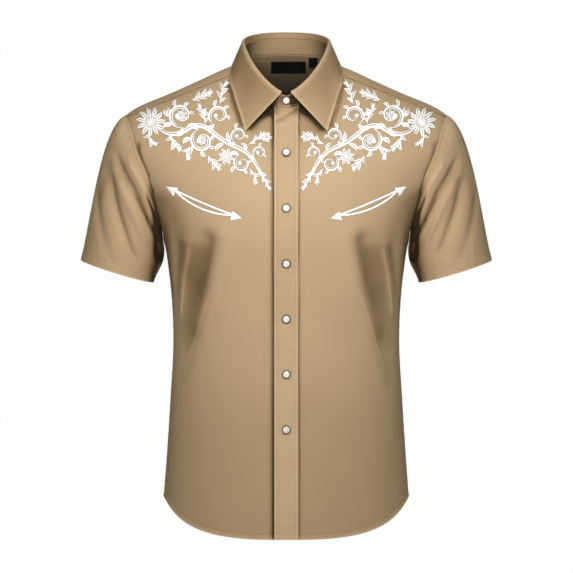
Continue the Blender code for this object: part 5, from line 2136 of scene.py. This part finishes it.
@dataclass
class Studio:
    """A pale floor, a white surround, soft lights and a level camera."""

    floor_size: float = 14.0
    floor_height: float = -0.775
    view_height: float = -0.33075
    view_width: float = 0.8595
    camera_place: Pair = (0.0003, -3.0)
    chest: Triple = (0.0, 0.0, -0.25)
    lamp_colour: Colour = (1.0, 0.995, 0.985)
    surround: Colour = (0.99, 0.99, 0.975)
    ambient: Colour = (0.08, 0.07, 0.06)
    lamps: tuple[Lamp, ...] = (
        Lamp("key", (0.0, -1.05, 0.35), 0.6, 13.4),
        Lamp("fill", (0.0, -1.6, -0.5), 1.2, 3.0),
        Lamp("side_left", (1.1, -0.8, 0.25), 0.5, 3.5),
        Lamp("side_right", (-1.1, -0.8, 0.25), 0.5, 3.5),
        Lamp("behind", (0.3, 1.8, 0.4), 1.2, 4.0),
    )

    def build_floor(self) -> None:
        """The floor, just under the hem."""
        pick()
        place = (0, 0, self.floor_height)
        bpy.ops.mesh.primitive_plane_add(size=self.floor_size, location=place)
        floor = named_last("floor")
        bpy.ops.object.transform_apply()
        recipe = Recipe("pale_floor")
        base = recipe.mixed(recipe.noise(0.4), (0.86, 0.86, 0.85), (0.90, 0.90, 0.89))
        floor.data.materials.append(recipe.finished(base, 0.9))

    def build_surround(self) -> None:
        """A surround that looks white and lights the shirt dimly from all round."""
        recipe = Recipe("surround", "worlds")
        colours = ({"Color": (*colour, 1.0)} for colour in (self.ambient, self.surround))
        dim, white = (recipe.node("Background", inputs=c).outputs[0] for c in colours)
        rays = recipe.node("LightPath").outputs["Is Camera Ray"]
        mix = recipe.node("MixShader", inputs={0: rays, 1: dim, 2: white})
        recipe.node("OutputWorld", inputs={"Surface": mix.outputs[0]})
        bpy.context.scene.world = recipe.made

    def add(self, name: str, data: bpy.types.ID, place: Sequence[float]) -> Piece:
        """Puts a light or the camera in its place."""
        made = bpy.data.objects.new(name, data)
        bpy.context.scene.collection.objects.link(made)
        made.location = place
        return made

    def build(self) -> None:
        """The whole studio."""
        self.build_floor()
        self.build_surround()
        for name, place, size, power in self.lamps:
            lamp = bpy.data.lights.new(name, "AREA")
            lamp.shape, lamp.size, lamp.energy = "SQUARE", size, power
            lamp.color = self.lamp_colour
            made = self.add(name, lamp, place)
            way = Vector(self.chest) - made.location
            made.rotation_euler = way.to_track_quat("-Z", "Y").to_euler()
        camera = bpy.data.cameras.new("camera")
        camera.type, camera.ortho_scale = "ORTHO", self.view_width
        made = self.add("camera", camera, (*self.camera_place, self.view_height))
        made.rotation_euler = (math.pi / 2, 0.0, 0.0)
        bpy.context.scene.camera = made
        bpy.context.scene.view_settings.view_transform = "Standard"


def main() -> None:
    """Builds the shirt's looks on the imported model, and the studio round it."""
    logging.basicConfig(level=logging.INFO, format="%(name)s: %(message)s")
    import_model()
    cloth = Faces(TanSateen().material(), ShadedReverse().material())
    thread = Thread("tan_thread", (0.56, 0.41, 0.26), 0.55).material()
    satin = Thread("white_satin", (0.97, 0.96, 0.93), 0.42).material()
    # Dark brown thread for the embroidery's edges, which also paint the shadow round each shape.
    shadow = Thread("brown_thread_and_shadow", (0.10, 0.062, 0.032), 0.7).material()
    label, metal = BlackWeave().material(), AgedMetal().material()
    body = Body(cloth, thread)
    body.build()
    Sleeves(cloth, thread).build()
    collar = Collar(cloth, thread, body.placket_angle)
    collar.build()
    Trim(cloth, thread, label, metal, PearlFace().material(), body, collar).build()
    Embroidery(satin, shadow, body).build()
    Studio().build()


if __name__ == "__main__":
    main()
